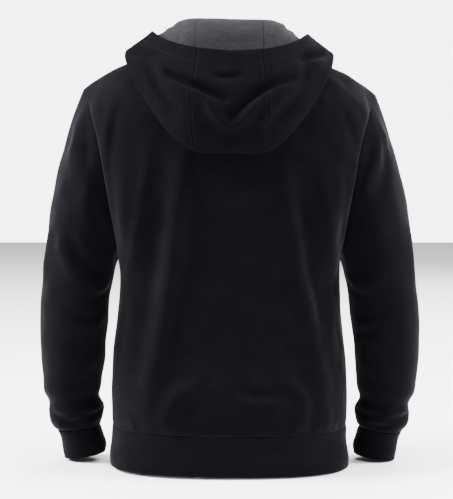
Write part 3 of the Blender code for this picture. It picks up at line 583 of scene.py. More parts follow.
def through(places, points, at):
    """The point at a place on a smooth curve through points, with a tangent from both neighbours."""
    last = len(points) - 1
    i = 0
    while i < last - 1 and at > places[i + 1]:
        i += 1
    step = places[i + 1] - places[i]
    share = (at - places[i]) / step

    def slope(k):
        low, high = max(k - 1, 0), min(k + 1, last)
        return (points[high] - points[low]) / (places[high] - places[low]) * step

    return eased_between(points[i], slope(i), points[i + 1], slope(i + 1), share)


def column_of(table, at, column):
    return through([row[0] for row in table], [row[column] for row in table], at)


def power(value, exponent):
    return abs(value) ** exponent


def on_side(point, side):
    """A point of the left side, or its mirror image on the right."""
    return Vector((point.x * side, point.y, point.z))


def smooth(share):
    share = min(max(share, 0.0), 1.0)
    return share * share * (3 - 2 * share)


def spread(values, times):
    """Values with evenly spaced ones between them."""
    between = [mix(a, b, k / times) for a, b in zip(values, values[1:]) for k in range(times)]
    return between + [values[-1]]


# ---- shapes of the body
def shoulder_seam(share, side):
    """From the high point at the neck, 0, to the tip of the shoulder, 1: a rounded fall."""
    x = mix(NECK_HALF, SHOULDER_HALF, share)
    z = mix(NECK_Z, SHOULDER_Z, SHOULDER_EVEN * share + (1 - SHOULDER_EVEN) * share**SHOULDER_POWER)
    return Vector((x, mix(NECK_Y, SHOULDER_Y, share) + side * SHOULDER_GAP, z))


def neckline(share, back):
    """From the middle, 0, to the high point at the neck, 1."""
    angle = share * math.pi / 2
    if back:
        y, z = BACK_NECK
        return Vector((NECK_HALF * math.sin(angle), mix(NECK_Y + SHOULDER_GAP, y, math.cos(angle)),
                       mix(NECK_Z, z, math.cos(angle))))
    y, z = FRONT_NECK
    x = mix(FRONT_EDGE, NECK_HALF, power(math.sin(angle), NECK_ROUND))
    return Vector((x, mix(NECK_Y - SHOULDER_GAP, y, math.cos(angle)),
                   mix(NECK_Z, z, power(math.cos(angle), NECK_DROP))))


def top_edge(across, back):
    """The neckline and then the shoulder seam, across from the middle, 0, to the armhole, 1."""
    neck_share = SHOULDER_FROM[back]
    if across <= neck_share:
        return neckline(across / neck_share, back)
    return shoulder_seam((across - neck_share) / (1 - neck_share), 1 if back else -1)


def body_row(across, half_width, depth, back):
    """A point of a level section below the armholes."""
    angle = across * math.pi / 2
    start = 0.0 if back else FRONT_EDGE
    x = mix(start, half_width, power(math.sin(angle), BODY_ROUND))
    y = SEAM_GAP + depth * power(math.cos(angle), BODY_ROUND)
    return x, y if back else -y


def leaving(across, back):
    """The step from the top edge to the cloth below it."""
    middle, corner, shoulder, tip = [Vector(row) for row in LEAVING[back]]
    neck_share = SHOULDER_FROM[back]
    if across <= neck_share:
        angle = across / neck_share * math.pi / 2
        return Vector((corner.x * math.sin(angle), mix(corner.y, middle.y, math.cos(angle)),
                       mix(corner.z, middle.z, math.cos(angle))))
    share = (across - neck_share) / (1 - neck_share)
    return corner.lerp(shoulder, smooth(share * 2.5)).lerp(tip, power(share, 4))


def panel_rows(across, back):
    """The heights along the panel and the points of its sections, at a place across it."""
    places, points = [], []
    for z, half_width, back_depth, front_depth in BODY_SECTIONS:
        x, y = body_row(across, half_width, back_depth if back else front_depth, back)
        places.append(z - BAND_SEAM_Z)
        points.append(Vector((x, y, z)))
    angle = across * math.pi / 2
    for i, row in enumerate(YOKE_SECTIONS):
        edge_x, edge_z = row[0], row[1]
        edge_y, middle_y, middle_z = row[2:5] if back else row[5:8]
        start = 0.0 if back else FRONT_EDGE
        roundness = BODY_ROUND + YOKE_ROUND_STEP * (i + 1)
        x = mix(start, edge_x, power(math.sin(angle), roundness))
        y = mix(edge_y, middle_y, power(math.cos(angle), roundness))
        z = mix(edge_z, middle_z, power(math.cos(angle), YOKE_DROP))
        places.append(places[-1] + YOKE_RUNS[i])
        points.append(Vector((x, y, z)))
    top = top_edge(across, back)
    below = top + leaving(across, back)
    beyond = top * 2 - below
    if across > SHOULDER_FROM[back]:
        beyond.z = below.z
    places += [places[-1] + run for run in TOP_RUNS]
    points += [below, top, beyond]
    return places, points


def panel_levels():
    """The heights of the grid's rows: those below the underarm and those above."""
    underarm = UNDERARM_Z - BAND_SEAM_Z
    places, _ = panel_rows(0.0, True)
    low = spread([*BODY_LEVELS, underarm], LEVEL_STEPS)
    shares = [(1 - i / YOKE_STEPS) ** YOKE_CLOSER for i in range(1, YOKE_STEPS + 1)]
    high = [mix(places[-2], underarm, share) for share in shares]
    return low, high


def panel_column(across, levels, back):
    """The points of a panel at a place across it, at these levels."""
    places, points = panel_rows(abs(across), back)
    column = []
    for level in levels:
        point = through(places, points, level)
        if level < UNDERARM_Z - BAND_SEAM_Z:
            point.y = max(point.y, SEAM_GAP) if back else min(point.y, -SEAM_GAP)
        column.append(on_side(point, -1 if across < 0 else 1))
    return column


def panel_grid(spots, back):
    low, high = panel_levels()
    columns = [panel_column(across, low + high, back) for across in spots]
    return [list(row) for row in zip(*columns)]


def mirrored(rows):
    return [[on_side(point, -1) for point in row] for row in rows]


def turned(rows):
    """The same sheet with its front on the other side."""
    return [row[::-1] for row in rows]


def outward(rows, side):
    """The rows of a piece on this side, with its front outward."""
    return rows if side > 0 else turned(rows)


def armhole(side):
    """The closed edge from the underarm up the back, over the shoulder and down the front."""
    _, high = panel_levels()
    levels = [UNDERARM_Z - BAND_SEAM_Z] + high
    back, front = panel_column(1.0, levels, True), panel_column(1.0, levels, False)
    loop = back[:-1] + [(back[-1] + front[-1]) / 2] + front[-2:0:-1]
    loop[0] = (back[0] + front[0]) / 2
    return [on_side(point, side) for point in loop]


def ring_point(section, angle, side):
    """The angle runs from the underarm over the back."""
    z, x, y, half_width, half_depth, fall = section
    inward = -math.cos(angle)
    point_x = x + half_width * inward
    return Vector((point_x * side, y + half_depth * math.sin(angle), z - half_width * inward * fall))


def section_at(table, z):
    return (z, *[column_of(table, z, column) for column in range(1, 6)])


def rising(table):
    return tuple(sorted(table))


def arm_direction(angle, side):
    """The way in which the sleeve leaves the armhole."""
    high = (1 - math.cos(angle)) / 2
    return Vector((side * mix(*ARM_OUT, high), ARM_TURN * math.sin(angle), -ARM_DOWN)).normalized()


def sleeve_grid(side):
    loop = armhole(side)
    count = len(loop)
    angles = [2 * math.pi * i / count for i in range(count)]
    table = rising(SLEEVE_SECTIONS)
    first = section_at(table, SLEEVE_SECTIONS[0][0])
    after = section_at(table, SLEEVE_SECTIONS[0][0] - HEADING_STEP)
    rows = []
    for k in range(SLEEVE_CAP_STEPS):
        share = k / SLEEVE_CAP_STEPS
        row = []
        for start, angle in zip(loop, angles):
            end = ring_point(first, angle, side)
            down = (ring_point(after, angle, side) - end).normalized()
            start = start + arm_direction(angle, side) * ARMHOLE_GAP
            reach = (end - start).length
            row.append(eased_between(start, arm_direction(angle, side) * reach, end, down * reach, share))
        rows.append(row)
    top, bottom = SLEEVE_SECTIONS[0][0], SLEEVE_SECTIONS[-1][0]
    for k in range(SLEEVE_STEPS + 1):
        section = section_at(table, mix(top, bottom, 1 - (1 - k / SLEEVE_STEPS) ** SLEEVE_CLOSER))
        rows.append([ring_point(section, angle, side) for angle in angles])
    return outward(rows, side)


def cuff_grid(side):
    count = 2 * YOKE_STEPS
    table = rising(CUFF_SECTIONS)
    top, bottom = CUFF_SECTIONS[0][0], CUFF_SECTIONS[-1][0]
    rows = []
    for k in range(CUFF_STEPS + 1):
        section = section_at(table, mix(top, bottom, k / CUFF_STEPS))
        rows.append([ring_point(section, 2 * math.pi * i / count, side) - Vector((0, 0, SEAM_GAP))
                     for i in range(count)])
    return outward(rows, side)


def band_grid():
    """From the zip on the left round the back to the zip on the right."""
    table = rising(BAND_SECTIONS)
    rows = []
    for k in range(BAND_STEPS + 1):
        height = mix(HEM_Z, BAND_SECTIONS[0][0], k / BAND_STEPS)
        half_width, back_depth, front_depth = [column_of(table, height, column) for column in (1, 2, 3)]
        z = height - SEAM_GAP
        front = [Vector((*body_row(i / FRONT_STEPS, half_width, front_depth, False), z))
                 for i in range(FRONT_STEPS)]
        front.append(Vector((half_width, 0.0, z)))
        back = [Vector((*body_row(i / BACK_STEPS, half_width, back_depth, True), z))
                for i in range(BACK_STEPS)]
        rows.append(front + back[:0:-1] + mirrored([back + front[::-1]])[0])
    return rows


# ---- shapes of the hood
def neck_edge():
    """Half of the neckline's edge, from the middle of the back to the zip, as the panels have it."""
    back = [neckline(i / BACK_NECK_STEPS, True) for i in range(BACK_NECK_STEPS + 1)]
    front = [neckline(i / FRONT_NECK_STEPS, False) for i in range(FRONT_NECK_STEPS, -1, -1)]
    return back + front


def along(points, share):
    """The point at a share of a broken line's length."""
    lengths = [(b - a).length for a, b in zip(points, points[1:])]
    rest = share * sum(lengths)
    for start, end, length in zip(points, points[1:], lengths):
        if rest <= length:
            return start.lerp(end, rest / length if length else 0.0)
        rest -= length
    return points[-1].copy()


def hood_profile(place):
    """The points that guide the hood's cloth at a station, from the neck seam to the rim."""
    value = [column_of(HOOD_STATIONS, abs(place), column) for column in range(1, 14)]
    neck = along(neck_edge(), min(max(value[0], 0.0), 1.0)) + Vector((0, 0, NECK_GAP))
    crest, fold, rim = Vector(value[1:4]), Vector(value[4:7]), Vector(value[7:10])
    crest_roll, roll, bulge = value[10:]
    out = Vector((fold.x, fold.y, 0)).normalized()
    up = Vector((0, 0, 1))
    # The shares below place the points that round the crest, the fold and the outer layer's bulge.
    rise = (crest - neck) * 0.5 - out * 0.25 * crest_roll
    inner = fold - out * 0.8 * roll + up * 1.3 * roll
    outer = fold + out * 1.1 * roll + up * 1.1 * roll
    over = crest.lerp(inner, 0.12) + (out + up * 0.3) * crest_roll
    to_rim = (rim - outer).normalized()
    under = rim - to_rim * min(CASING, (rim - outer).length * 0.5)
    under = under + out * bulge * 0.3
    points = [
        neck, neck + rise, crest, over, over.lerp(inner, 0.5), inner, fold, outer,
        outer.lerp(under, 0.33) + out * bulge * 0.75, outer.lerp(under, 0.68) + out * bulge * 0.65,
        under, rim,
    ]
    return [on_side(point, -1 if place < 0 else 1) for point in points]


def profile_places(points):
    places = [0.0]
    for a, b in zip(points, points[1:]):
        places.append(places[-1] + max((b - a).length, LEAST_RUN))
    return places


def hood_column(place):
    """The hood's cloth at a station: points from the neck seam to the rim, evenly spaced."""
    guides = hood_profile(place)
    places = profile_places(guides)
    fold = places[FOLD_GUIDE]
    inner = [fold * k / HOOD_INNER_STEPS for k in range(HOOD_INNER_STEPS)]
    outer = [mix(fold, places[-1], k / HOOD_OUTER_STEPS) for k in range(HOOD_OUTER_STEPS + 1)]
    return [through(places, guides, at) for at in inner + outer]


def hood_places():
    """The stations of the hood's columns from the right end of the zip round to the left end."""
    centre = [i / HOOD_CENTRE_STEPS for i in range(-HOOD_CENTRE_STEPS + 1, HOOD_CENTRE_STEPS)]
    last = HOOD_STATIONS[-1][0]
    side = [mix(1.0, last, i / HOOD_SIDE_STEPS) for i in range(HOOD_SIDE_STEPS + 1)]
    return [-place for place in reversed(side)] + centre + side


# ---- shapes of the zip
def zip_line(z):
    """The outer face of the front edge at a height."""
    places, points = panel_rows(0.0, False)
    low, high = 0.0, places[-2]
    for _ in range(HALVINGS):
        level = (low + high) / 2
        if through(places, points, level).z < z:
            low = level
        else:
            high = level
    return through(places, points, (low + high) / 2).y


def front_face(z):
    if z < BAND_SEAM_Z:
        return -column_of(rising(BAND_SECTIONS), max(z, HEM_Z), 3) - SEAM_GAP
    return zip_line(z)


# ---- cloths as fine grids
def unit(vectors):
    return vectors / np.maximum(np.linalg.norm(vectors, axis=-1, keepdims=True), 1e-9)


def eased(values):
    values = np.clip(values, 0.0, 1.0)
    return values * values * (3 - 2 * values)


def tilted(rows):
    """Rows of points as a grid, with shoulders that slope a little down toward -X."""
    grid = np.array([[tuple(point) for point in row] for row in rows])
    share = eased((grid[..., 2] - HEM_Z) / (SHOULDER_Z - HEM_Z))
    grid[..., 2] += grid[..., 0] * (HEM_TILT + (SHOULDER_TILT - HEM_TILT) * share)
    return grid


def fronts_of(grid, closed=False):
    """The directions that the front faces: rows run upward and columns to the right."""
    up = np.gradient(grid, axis=0)
    right = np.roll(grid, -1, 1) - np.roll(grid, 1, 1) if closed else np.gradient(grid, axis=1)
    return unit(np.cross(right, up))


def inside(grid, first_row=0, last_row=0, first_column=0, last_column=0):
    """0 at the edges of a grid and 1 further in, over so many rows or columns from each edge."""
    height, width = grid.shape[:2]
    i, j = np.arange(height)[:, None], np.arange(width)[None, :]
    share = np.ones((height, width))
    for steps, away in ((first_row, i), (last_row, height - 1 - i),
                        (first_column, j), (last_column, width - 1 - j)):
        if steps:
            share = share * eased(away / steps)
    return share


def fold_field(across, up, folds):
    """The height of all folds at these places. A fold runs over three places and fades toward its ends."""
    total = np.zeros_like(across)
    shares = np.linspace(0, 1, FOLD_POINTS)
    for x0, y0, x1, y1, x2, y2, near_width, far_width, height in folds:
        bend_x, bend_y = 2 * x1 - (x0 + x2) / 2, 2 * y1 - (y0 + y2) / 2
        line_x = (1 - shares) ** 2 * x0 + 2 * shares * (1 - shares) * bend_x + shares**2 * x2
        line_y = (1 - shares) ** 2 * y0 + 2 * shares * (1 - shares) * bend_y + shares**2 * y2
        nearest = np.full(across.shape, np.inf)
        side, place = np.zeros_like(across), np.zeros_like(across)
        for k in range(FOLD_POINTS - 1):
            run_x, run_y = line_x[k + 1] - line_x[k], line_y[k + 1] - line_y[k]
            off_x, off_y = across - line_x[k], up - line_y[k]
            t = np.clip((off_x * run_x + off_y * run_y) / (run_x**2 + run_y**2), 0, 1)
            gap_x, gap_y = off_x - run_x * t, off_y - run_y * t
            apart = np.hypot(gap_x, gap_y)
            closer = apart < nearest
            nearest = np.where(closer, apart, nearest)
            side = np.where(closer, run_x * gap_y - run_y * gap_x, side)
            place = np.where(closer, (k + t) / (FOLD_POINTS - 1), place)
        blend = 1e-6 + FOLD_BLEND * np.hypot(x2 - x0, y2 - y0)
        width = mix(near_width, far_width, 0.5 - 0.5 * np.tanh(side / blend))
        fade = np.sin(np.pi * (FOLD_END + (1 - 2 * FOLD_END) * place)) ** FOLD_FADE
        total += height * np.exp(-((nearest / width) ** 2)) * fade
    return total


def softened(grid, spot, reach):
    """The grid with the bends between its rows evened out round a spot on both sides."""
    away = ((abs(grid[..., 0]) - spot[0]) / reach[0]) ** 2 + ((grid[..., 2] - spot[1]) / reach[1]) ** 2
    share = (np.exp(-away) * inside(grid, *[SOFTEN_FADE] * 4))[1:-1, :, None]
    grid = grid.copy()
    for _ in range(SOFTENINGS):
        grid[1:-1] += ((grid[:-2] + grid[2:]) / 2 - grid[1:-1]) * share
    return grid


def slack(grid, cloth, side=0):
    """The slight unevenness of a hanging cloth, as a sum of long waves."""
    seed, height = SLACK[cloth]
    seed += side
    total = np.zeros(grid.shape[:2])
    for k, (length, share) in enumerate(SLACK_WAVES):
        for turn in (seed * 1.7 + k * 2.4, seed * 0.9 + k * 1.3 + 2.0):
            along = np.array([math.cos(turn), math.sin(turn * 1.3), math.sin(turn)])
            phase = 2 * math.pi / length * (grid @ (along / np.linalg.norm(along)))
            total += share * np.sin(phase + seed * 3.1 + k)
    return total * height


def lengths_of(line):
    """How far along a line each of its points lies."""
    return np.concatenate([[0.0], np.cumsum(np.linalg.norm(np.diff(line, axis=0), axis=-1))])


def gathers(grid, row, puckers, seed):
    """Short puckers that run up from a seam at a row."""
    depth, height = puckers
    across = lengths_of(grid[row])
    wave = np.zeros_like(across)
    for length, share in PUCKER_WAVES:
        wave += share * np.sin(2 * math.pi * across / length + seed + 40 * length)
    away = np.linalg.norm(grid - grid[row][None], axis=-1)
    return wave[None] * height * np.exp(-((away / depth) ** 2))


def raised(grid, height, closed=False):
    """The grid moved along its fronts by these heights, and its new fronts."""
    grid = grid + fronts_of(grid, closed) * height[..., None]
    return grid, fronts_of(grid, closed)


def edge_first(grid, fronts, side, back=False):
    """Both grids turned so that an edge becomes the last row, or turned back from that."""
    def turn(values):
        if back:
            values = values[::-1] if side.startswith("first") else values
            return values.transpose(1, 0, 2) if side.endswith("column") else values
        values = values.transpose(1, 0, 2) if side.endswith("column") else values
        return values[::-1] if side.startswith("first") else values

    return turn(grid), turn(fronts)


def turn_edge(cloth, side, radius, degrees, run, steps):
    """Turns an edge of the cloth to its back, round a small radius, and runs it on from there."""
    grid, fronts = edge_first(*cloth, side)
    grid = grid.copy()
    front = fronts[-1]
    ahead = grid[-1] - grid[-2]
    ahead = unit(ahead - front * (ahead * front).sum(-1, keepdims=True))
    grid[-1] -= ahead * min(abs(radius), np.linalg.norm(grid[-1] - grid[-2], axis=-1).min() * 0.8)
    rows, faced = [], []
    for k in range(1, TURN_STEPS + 1):
        angle = math.radians(degrees) * k / TURN_STEPS
        rows.append(grid[-1] + ahead * radius * math.sin(angle) - front * radius * (1 - math.cos(angle)))
        faced.append(front * math.cos(angle) + ahead * math.sin(angle))
    heading = ahead * math.cos(angle) - front * math.sin(angle)
    end, last_front = rows[-1], faced[-1]
    for k in range(1, steps + 1):
        rows.append(end + heading * run * k / steps)
        faced.append(last_front)
    return edge_first(np.concatenate([grid, rows]), np.concatenate([fronts, faced]), side, back=True)


def seamed(cloth, *sides, radius=SEAM_RADIUS, degrees=SEAM_TURN):
    """Edges that are sewn to a neighbour dip into the seam."""
    for side in sides:
        cloth = turn_edge(cloth, side, radius, degrees, SEAM_DIP, 1)
    return cloth


def tucked(cloth, *sides):
    """Edges that are sewn to a neighbour and lie under its edge."""
    for side in sides:
        cloth = turn_edge(cloth, side, SEAM_RADIUS, UNDER_TURN, UNDER_RUN, 1)
    return cloth


def folded_under(cloth, side, depth):
    """The rim's hem lies on the back of the cloth, on its own rows, so that it follows the folds."""
    grid, fronts = edge_first(*cloth, side)
    reach = np.cumsum(np.linalg.norm(np.diff(grid[::-1], axis=0), axis=-1), axis=0).mean(axis=1)
    count = max(2, int(np.searchsorted(reach, depth)))
    under = [grid[-2 - k] - fronts[-2 - k] * 2 * RIM_RADIUS for k in range(count)]
    faced = [-fronts[-2 - k] for k in range(count)]
    front, ahead = fronts[-1], unit(grid[-1] - grid[-2])
    turn = []
    for k in range(1, TURN_STEPS + 1):
        angle = math.pi * k / (TURN_STEPS + 1)
        turn.append(grid[-1] + ahead * RIM_RADIUS * (math.sin(angle) - 1)
                    - front * RIM_RADIUS * (1 - math.cos(angle)))
        faced.insert(k - 1, front * math.cos(angle) + ahead * math.sin(angle))
    grid, fronts = np.concatenate([grid[:-1], turn, under]), np.concatenate([fronts[:-1], faced])
    return edge_first(grid, fronts, side, back=True)


# ---- objects
def deselect():
    for obj in bpy.context.selected_objects:
        obj.select_set(False)


def apply_modifiers(obj):
    deselect()
    obj.select_set(True)
    bpy.context.view_layer.objects.active = obj
    for modifier in list(obj.modifiers):
        bpy.ops.object.modifier_apply(modifier=modifier.name)


def new_object(name, points, faces, finish):
    mesh = bpy.data.meshes.new(name)
    mesh.from_pydata(points, [], faces)
    mesh.materials.append(finish)
    mesh.shade_smooth()
    obj = bpy.data.objects.new(name, mesh)
    bpy.context.scene.collection.objects.link(obj)
    return obj


def lengths_along(grid, axis):
    """The mean places of the rows or columns of a grid, in metres along the cloth."""
    steps = np.linalg.norm(np.diff(grid, axis=axis), axis=-1).mean(axis=1 - axis)
    return np.concatenate([[0.0], np.cumsum(steps)])


def quads(grid, closed):
    """The faces of a grid, row by row."""
    rows, columns = grid.shape[:2]
    left = np.arange(columns if closed else columns - 1)
    right = (left + 1) % columns
    index = np.arange(rows * columns).reshape(rows, columns)
    low, high = index[:-1], index[1:]
    return np.stack([low[:, left], low[:, right], high[:, right], high[:, left]], axis=-1).reshape(-1, 4)


def cloth_piece(name, grid, thickness, finish, closed=False):
    """A cloth with its outer face on the grid, and UVs in metres that run across it and up it."""
    obj = new_object(name, grid.reshape(-1, 3).tolist(), quads(grid, closed).tolist(), finish)
    around = grid.shape[1] if closed else grid.shape[1] - 1
    across = lengths_along(np.concatenate([grid, grid[:, :1]], axis=1), 1)
    up = lengths_along(grid, 0)
    near, far = across[None, :around], across[None, 1:around + 1]
    below, above = up[:-1, None], up[1:, None]
    corners = [np.stack(np.broadcast_arrays(x, y), -1)
               for x, y in ((near, below), (far, below), (far, above), (near, above))]
    obj.data.uv_layers.new(name="cloth").data.foreach_set("uv", np.stack(corners, axis=2).reshape(-1))
    wall = obj.modifiers.new("thickness", "SOLIDIFY")
    wall.thickness = thickness
    wall.offset = -1.0
    apply_modifiers(obj)
    return obj


def taken_shape(model):
    """The points and faces of a small model, which is then removed."""
    points = np.array([vertex.co[:] for vertex in model.data.vertices])
    faces = [tuple(polygon.vertices) for polygon in model.data.polygons]
    bpy.data.objects.remove(model, do_unlink=True)
    return points, faces


def copies(name, shape, frames, finish):
    """One piece with a copy of a small shape at each frame: a place and three directions."""
    points, faces = shape
    placed_points, placed_faces = [], []
    for k, (place, x, y, z) in enumerate(frames):
        placed_points.append(place + points[:, :1] * x + points[:, 1:2] * y + points[:, 2:] * z)
        placed_faces += [tuple(k * len(points) + i for i in face) for face in faces]
    return new_object(name, np.concatenate(placed_points).tolist(), placed_faces, finish)


def declare(obj, slot, *replaced, flat=None, area=None):
    """What a piece rides on and the solids that it stands for. Its finish (slot) and the cut of its cloth
    (flat, area) are not used.
    """
    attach(obj, BODY)
    if replaced:
        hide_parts(*replaced)


# ---- sewing
def stitch_model(sizes):
    """One stitch along X, on a cloth that faces Z. Its ends dip into the cloth."""
    deselect()
    bpy.ops.mesh.primitive_uv_sphere_add(segments=6, ring_count=5, radius=0.5, rotation=(0, math.pi / 2, 0))
    model = bpy.context.object
    bpy.ops.object.transform_apply(location=False, rotation=True, scale=False)
    model.scale = (sizes.stitch_length, sizes.thread, sizes.thread)
    bpy.ops.object.transform_apply(location=False, rotation=False, scale=True)
    for vertex in model.data.vertices:
        vertex.co.z -= (abs(vertex.co.x) / sizes.stitch_length * 2) ** 2 * sizes.thread * STITCH_DIP
    return taken_shape(model)


def line_beside(cloth, side, distance):
    """The line on a cloth at a distance from one of its edges, and the fronts there."""
    grid, fronts = edge_first(*cloth, side)
    grid, fronts = grid[::-1], fronts[::-1]
    steps = np.linalg.norm(np.diff(grid, axis=0), axis=-1)
    reach = np.concatenate([np.zeros((1, grid.shape[1])), np.cumsum(steps, axis=0)])
    line, faced = np.empty((grid.shape[1], 3)), np.empty((grid.shape[1], 3))
    for j in range(grid.shape[1]):
        for axis in range(3):
            line[j, axis] = np.interp(distance, reach[:, j], grid[:, j, axis])
            faced[j, axis] = np.interp(distance, reach[:, j], fronts[:, j, axis])
    return line, unit(faced)


def stitch_frames(line, faced, sizes):
    """Frames for stitches, evenly spaced along a line."""
    places = lengths_of(line)
    count = max(2, int(places[-1] / sizes.stitch_pitch))
    half = sizes.stitch_length / 2
    frames = []
    for at in (np.arange(count) + 0.5) * places[-1] / count:
        start, end = [np.array([np.interp(at + off, places, line[:, axis]) for axis in range(3)])
                      for off in (-half, half)]
        front = np.array([np.interp(at, places, faced[:, axis]) for axis in range(3)])
        x = unit(end - start)
        y = unit(np.cross(front, x))
        z = np.cross(x, y)
        frames.append(((start + end) / 2 + z * sizes.thread * STITCH_RISE, x, y, z))
    return frames


def sew(name, lines, sizes):
    frames = [frame for line, faced in lines for frame in stitch_frames(line, faced, sizes)]
    obj = copies(name, stitch_model(sizes), frames, thread_finish())
    declare(obj, "black_tape")


# ---- finishes
class Finish:
    """A material whose pattern nodes are added one by one."""

    def __init__(self, name, roughness, metallic=0.0, sheen=0.0, sheen_roughness=0.4, gloss=0.5):
        self.material = bpy.data.materials.new(name)
        self.material.use_nodes = True
        self.nodes, self.links = self.material.node_tree.nodes, self.material.node_tree.links
        self.shader = self.nodes["Principled BSDF"]
        for key, value in (("Roughness", roughness), ("Metallic", metallic), ("Sheen Weight", sheen),
                           ("Sheen Roughness", sheen_roughness), ("Sheen Tint", SHEEN_TINT),
                           ("Specular IOR Level", gloss)):
            self.shader.inputs[key].default_value = value
        self.places = self.nodes.new("ShaderNodeTexCoord")
        self.normal = None

    def added(self, kind, socket, linked, **values):
        """A node with one input linked and these values set."""
        node = self.nodes.new(f"ShaderNode{kind}")
        for key, value in values.items():
            node.inputs[key.replace("_", " ").title()].default_value = value
        self.links.new(linked, node.inputs[socket])
        return node

    def stretched(self, output, scale):
        """The places scaled differently along each direction."""
        return self.added("Mapping", "Vector", output, scale=scale).outputs["Vector"]

    def noise(self, vector, scale, detail=2.0, roughness=0.5):
        values = {"scale": scale, "detail": detail, "roughness": roughness, "distortion": 0.0}
        return self.added("TexNoise", "Vector", vector, **values).outputs["Fac"]

    def waves(self, vector, pitch, direction="X", distortion=0.0):
        """Bands at this pitch, in metres."""
        texture = self.added("TexWave", "Vector", vector, scale=math.pi / 10 / pitch, distortion=distortion)
        texture.bands_direction = direction
        return texture.outputs["Fac"]

    def ranged(self, value, low, high, to_low, to_high):
        values = {"from_min": low, "from_max": high, "to_min": to_low, "to_max": to_high}
        return self.added("MapRange", "Value", value, **values).outputs["Result"]

    def multiplied(self, a, b):
        node = self.nodes.new("ShaderNodeMath")
        node.operation = "MULTIPLY"
        self.links.new(a, node.inputs[0])
        self.links.new(b, node.inputs[1])
        return node.outputs[0]

    def coloured(self, share, low, high):
        """The base colour runs between two colours."""
        node = self.nodes.new("ShaderNodeMix")
        node.data_type = "RGBA"
        node.inputs["A"].default_value = (*low, 1.0)
        node.inputs["B"].default_value = (*high, 1.0)
        self.links.new(share, node.inputs["Factor"])
        self.links.new(node.outputs["Result"], self.shader.inputs["Base Color"])

    def bumped(self, height, distance, strength=1.0):
        node = self.added("Bump", "Height", height, distance=distance, strength=strength)
        if self.normal:
            self.links.new(self.normal, node.inputs["Normal"])
        self.normal = node.outputs["Normal"]
        self.links.new(self.normal, self.shader.inputs["Normal"])

    def rough(self, share, low, high):
        self.links.new(self.ranged(share, 0.3, 0.7, low, high), self.shader.inputs["Roughness"])


def times(colour, factor):
    return tuple(min(value * factor, 1.0) for value in colour)


def known(name):
    return bpy.data.materials.get(name)


def fleece_finish(name, colour, nap, sheen=0.046, spread=0.36):
    """Brushed fleece: a mottled nap with a soft sheen."""
    if known(name):
        return known(name)
    finish = Finish(name, 0.95, sheen=sheen, sheen_roughness=spread, gloss=0.02)
    spots = finish.places.outputs["Object"]
    patches = finish.ranged(finish.noise(spots, 34, 5.0, 0.66), 0.34, 0.66, 0.0, 1.0)
    fibres = finish.ranged(finish.noise(spots, 620, 3.0, 0.70), 0.30, 0.70, 0.25, 1.0)
    finish.coloured(finish.multiplied(patches, fibres), times(colour, 0.85), times(colour, 1.35))
    finish.bumped(finish.noise(spots, 260, 3.0, 0.6), nap * 0.6, 0.5)
    finish.bumped(finish.noise(spots, 1250, 2.0, 0.7), nap * 0.3, 0.5)
    return finish.material


def body_finish(context):
    return fleece_finish("brushed_fleece", context.scene.hoodie_cloth.fleece_colour[:], 0.0011)


def hood_finish(context):
    """The hood's fleece is brushed less, and glows less along its folded edges."""
    return fleece_finish("hood_fleece", context.scene.hoodie_cloth.fleece_colour[:], 0.0011, 0.0, 0.5)


def band_finish(context):
    return fleece_finish("band_fleece", context.scene.hoodie_cloth.band_colour[:], 0.0007)


def jersey_finish(context):
    """Heather jersey: fine knitted wales with light and dark fibres."""
    if known("heather_jersey"):
        return known("heather_jersey")
    colour = context.scene.hoodie_cloth.jersey_colour[:]
    finish = Finish("heather_jersey", 0.95, sheen=0.03, sheen_roughness=0.4, gloss=0.1)
    cloth = finish.places.outputs["UV"]
    streaks = finish.noise(finish.stretched(cloth, (1500, 330, 1)), 1.0, 3.0, 0.65)
    specks = finish.noise(finish.stretched(cloth, (420, 130, 1)), 1.0, 2.0, 0.6)
    light = finish.multiplied(finish.ranged(streaks, 0.30, 0.70, 0.2, 1.0),
                              finish.ranged(specks, 0.30, 0.70, 0.35, 1.0))
    drift = finish.noise(finish.stretched(cloth, (70, 280, 1)), 1.0, 3.0, 0.6)
    light = finish.multiplied(light, finish.ranged(drift, 0.36, 0.64, 0.5, 1.0))
    finish.coloured(light, times(colour, 0.48), times(colour, 2.3))
    finish.bumped(finish.waves(cloth, 0.0011, "X", 0.3), 0.00018, 0.8)
    finish.bumped(streaks, 0.0003, 0.5)
    return finish.material


def tape_finish(context):
    """Woven zip tape."""
    if known("woven_tape"):
        return known("woven_tape")
    colour = context.scene.hoodie_zip.tape_colour[:]
    finish = Finish("woven_tape", 0.85, sheen=0.01, sheen_roughness=0.4, gloss=0.06)
    cloth = finish.places.outputs["UV"]
    weave = finish.multiplied(finish.waves(cloth, 0.0008, "X"), finish.waves(cloth, 0.0006, "Y"))
    finish.coloured(weave, times(colour, 0.6), times(colour, 1.6))
    finish.bumped(weave, 0.0002, 0.8)
    return finish.material


def thread_finish():
    """Twisted sewing thread."""
    if known("sewing_thread"):
        return known("sewing_thread")
    colour = bpy.context.scene.hoodie_sewing.thread_colour[:]
    finish = Finish("sewing_thread", 0.7, sheen=0.015, sheen_roughness=0.4, gloss=0.08)
    twist = finish.noise(finish.places.outputs["Object"], 2600, 2.0, 0.6)
    finish.coloured(finish.ranged(twist, 0.3, 0.7, 0.0, 1.0), times(colour, 0.7), times(colour, 1.5))
    finish.bumped(twist, 0.0001, 0.7)
    return finish.material


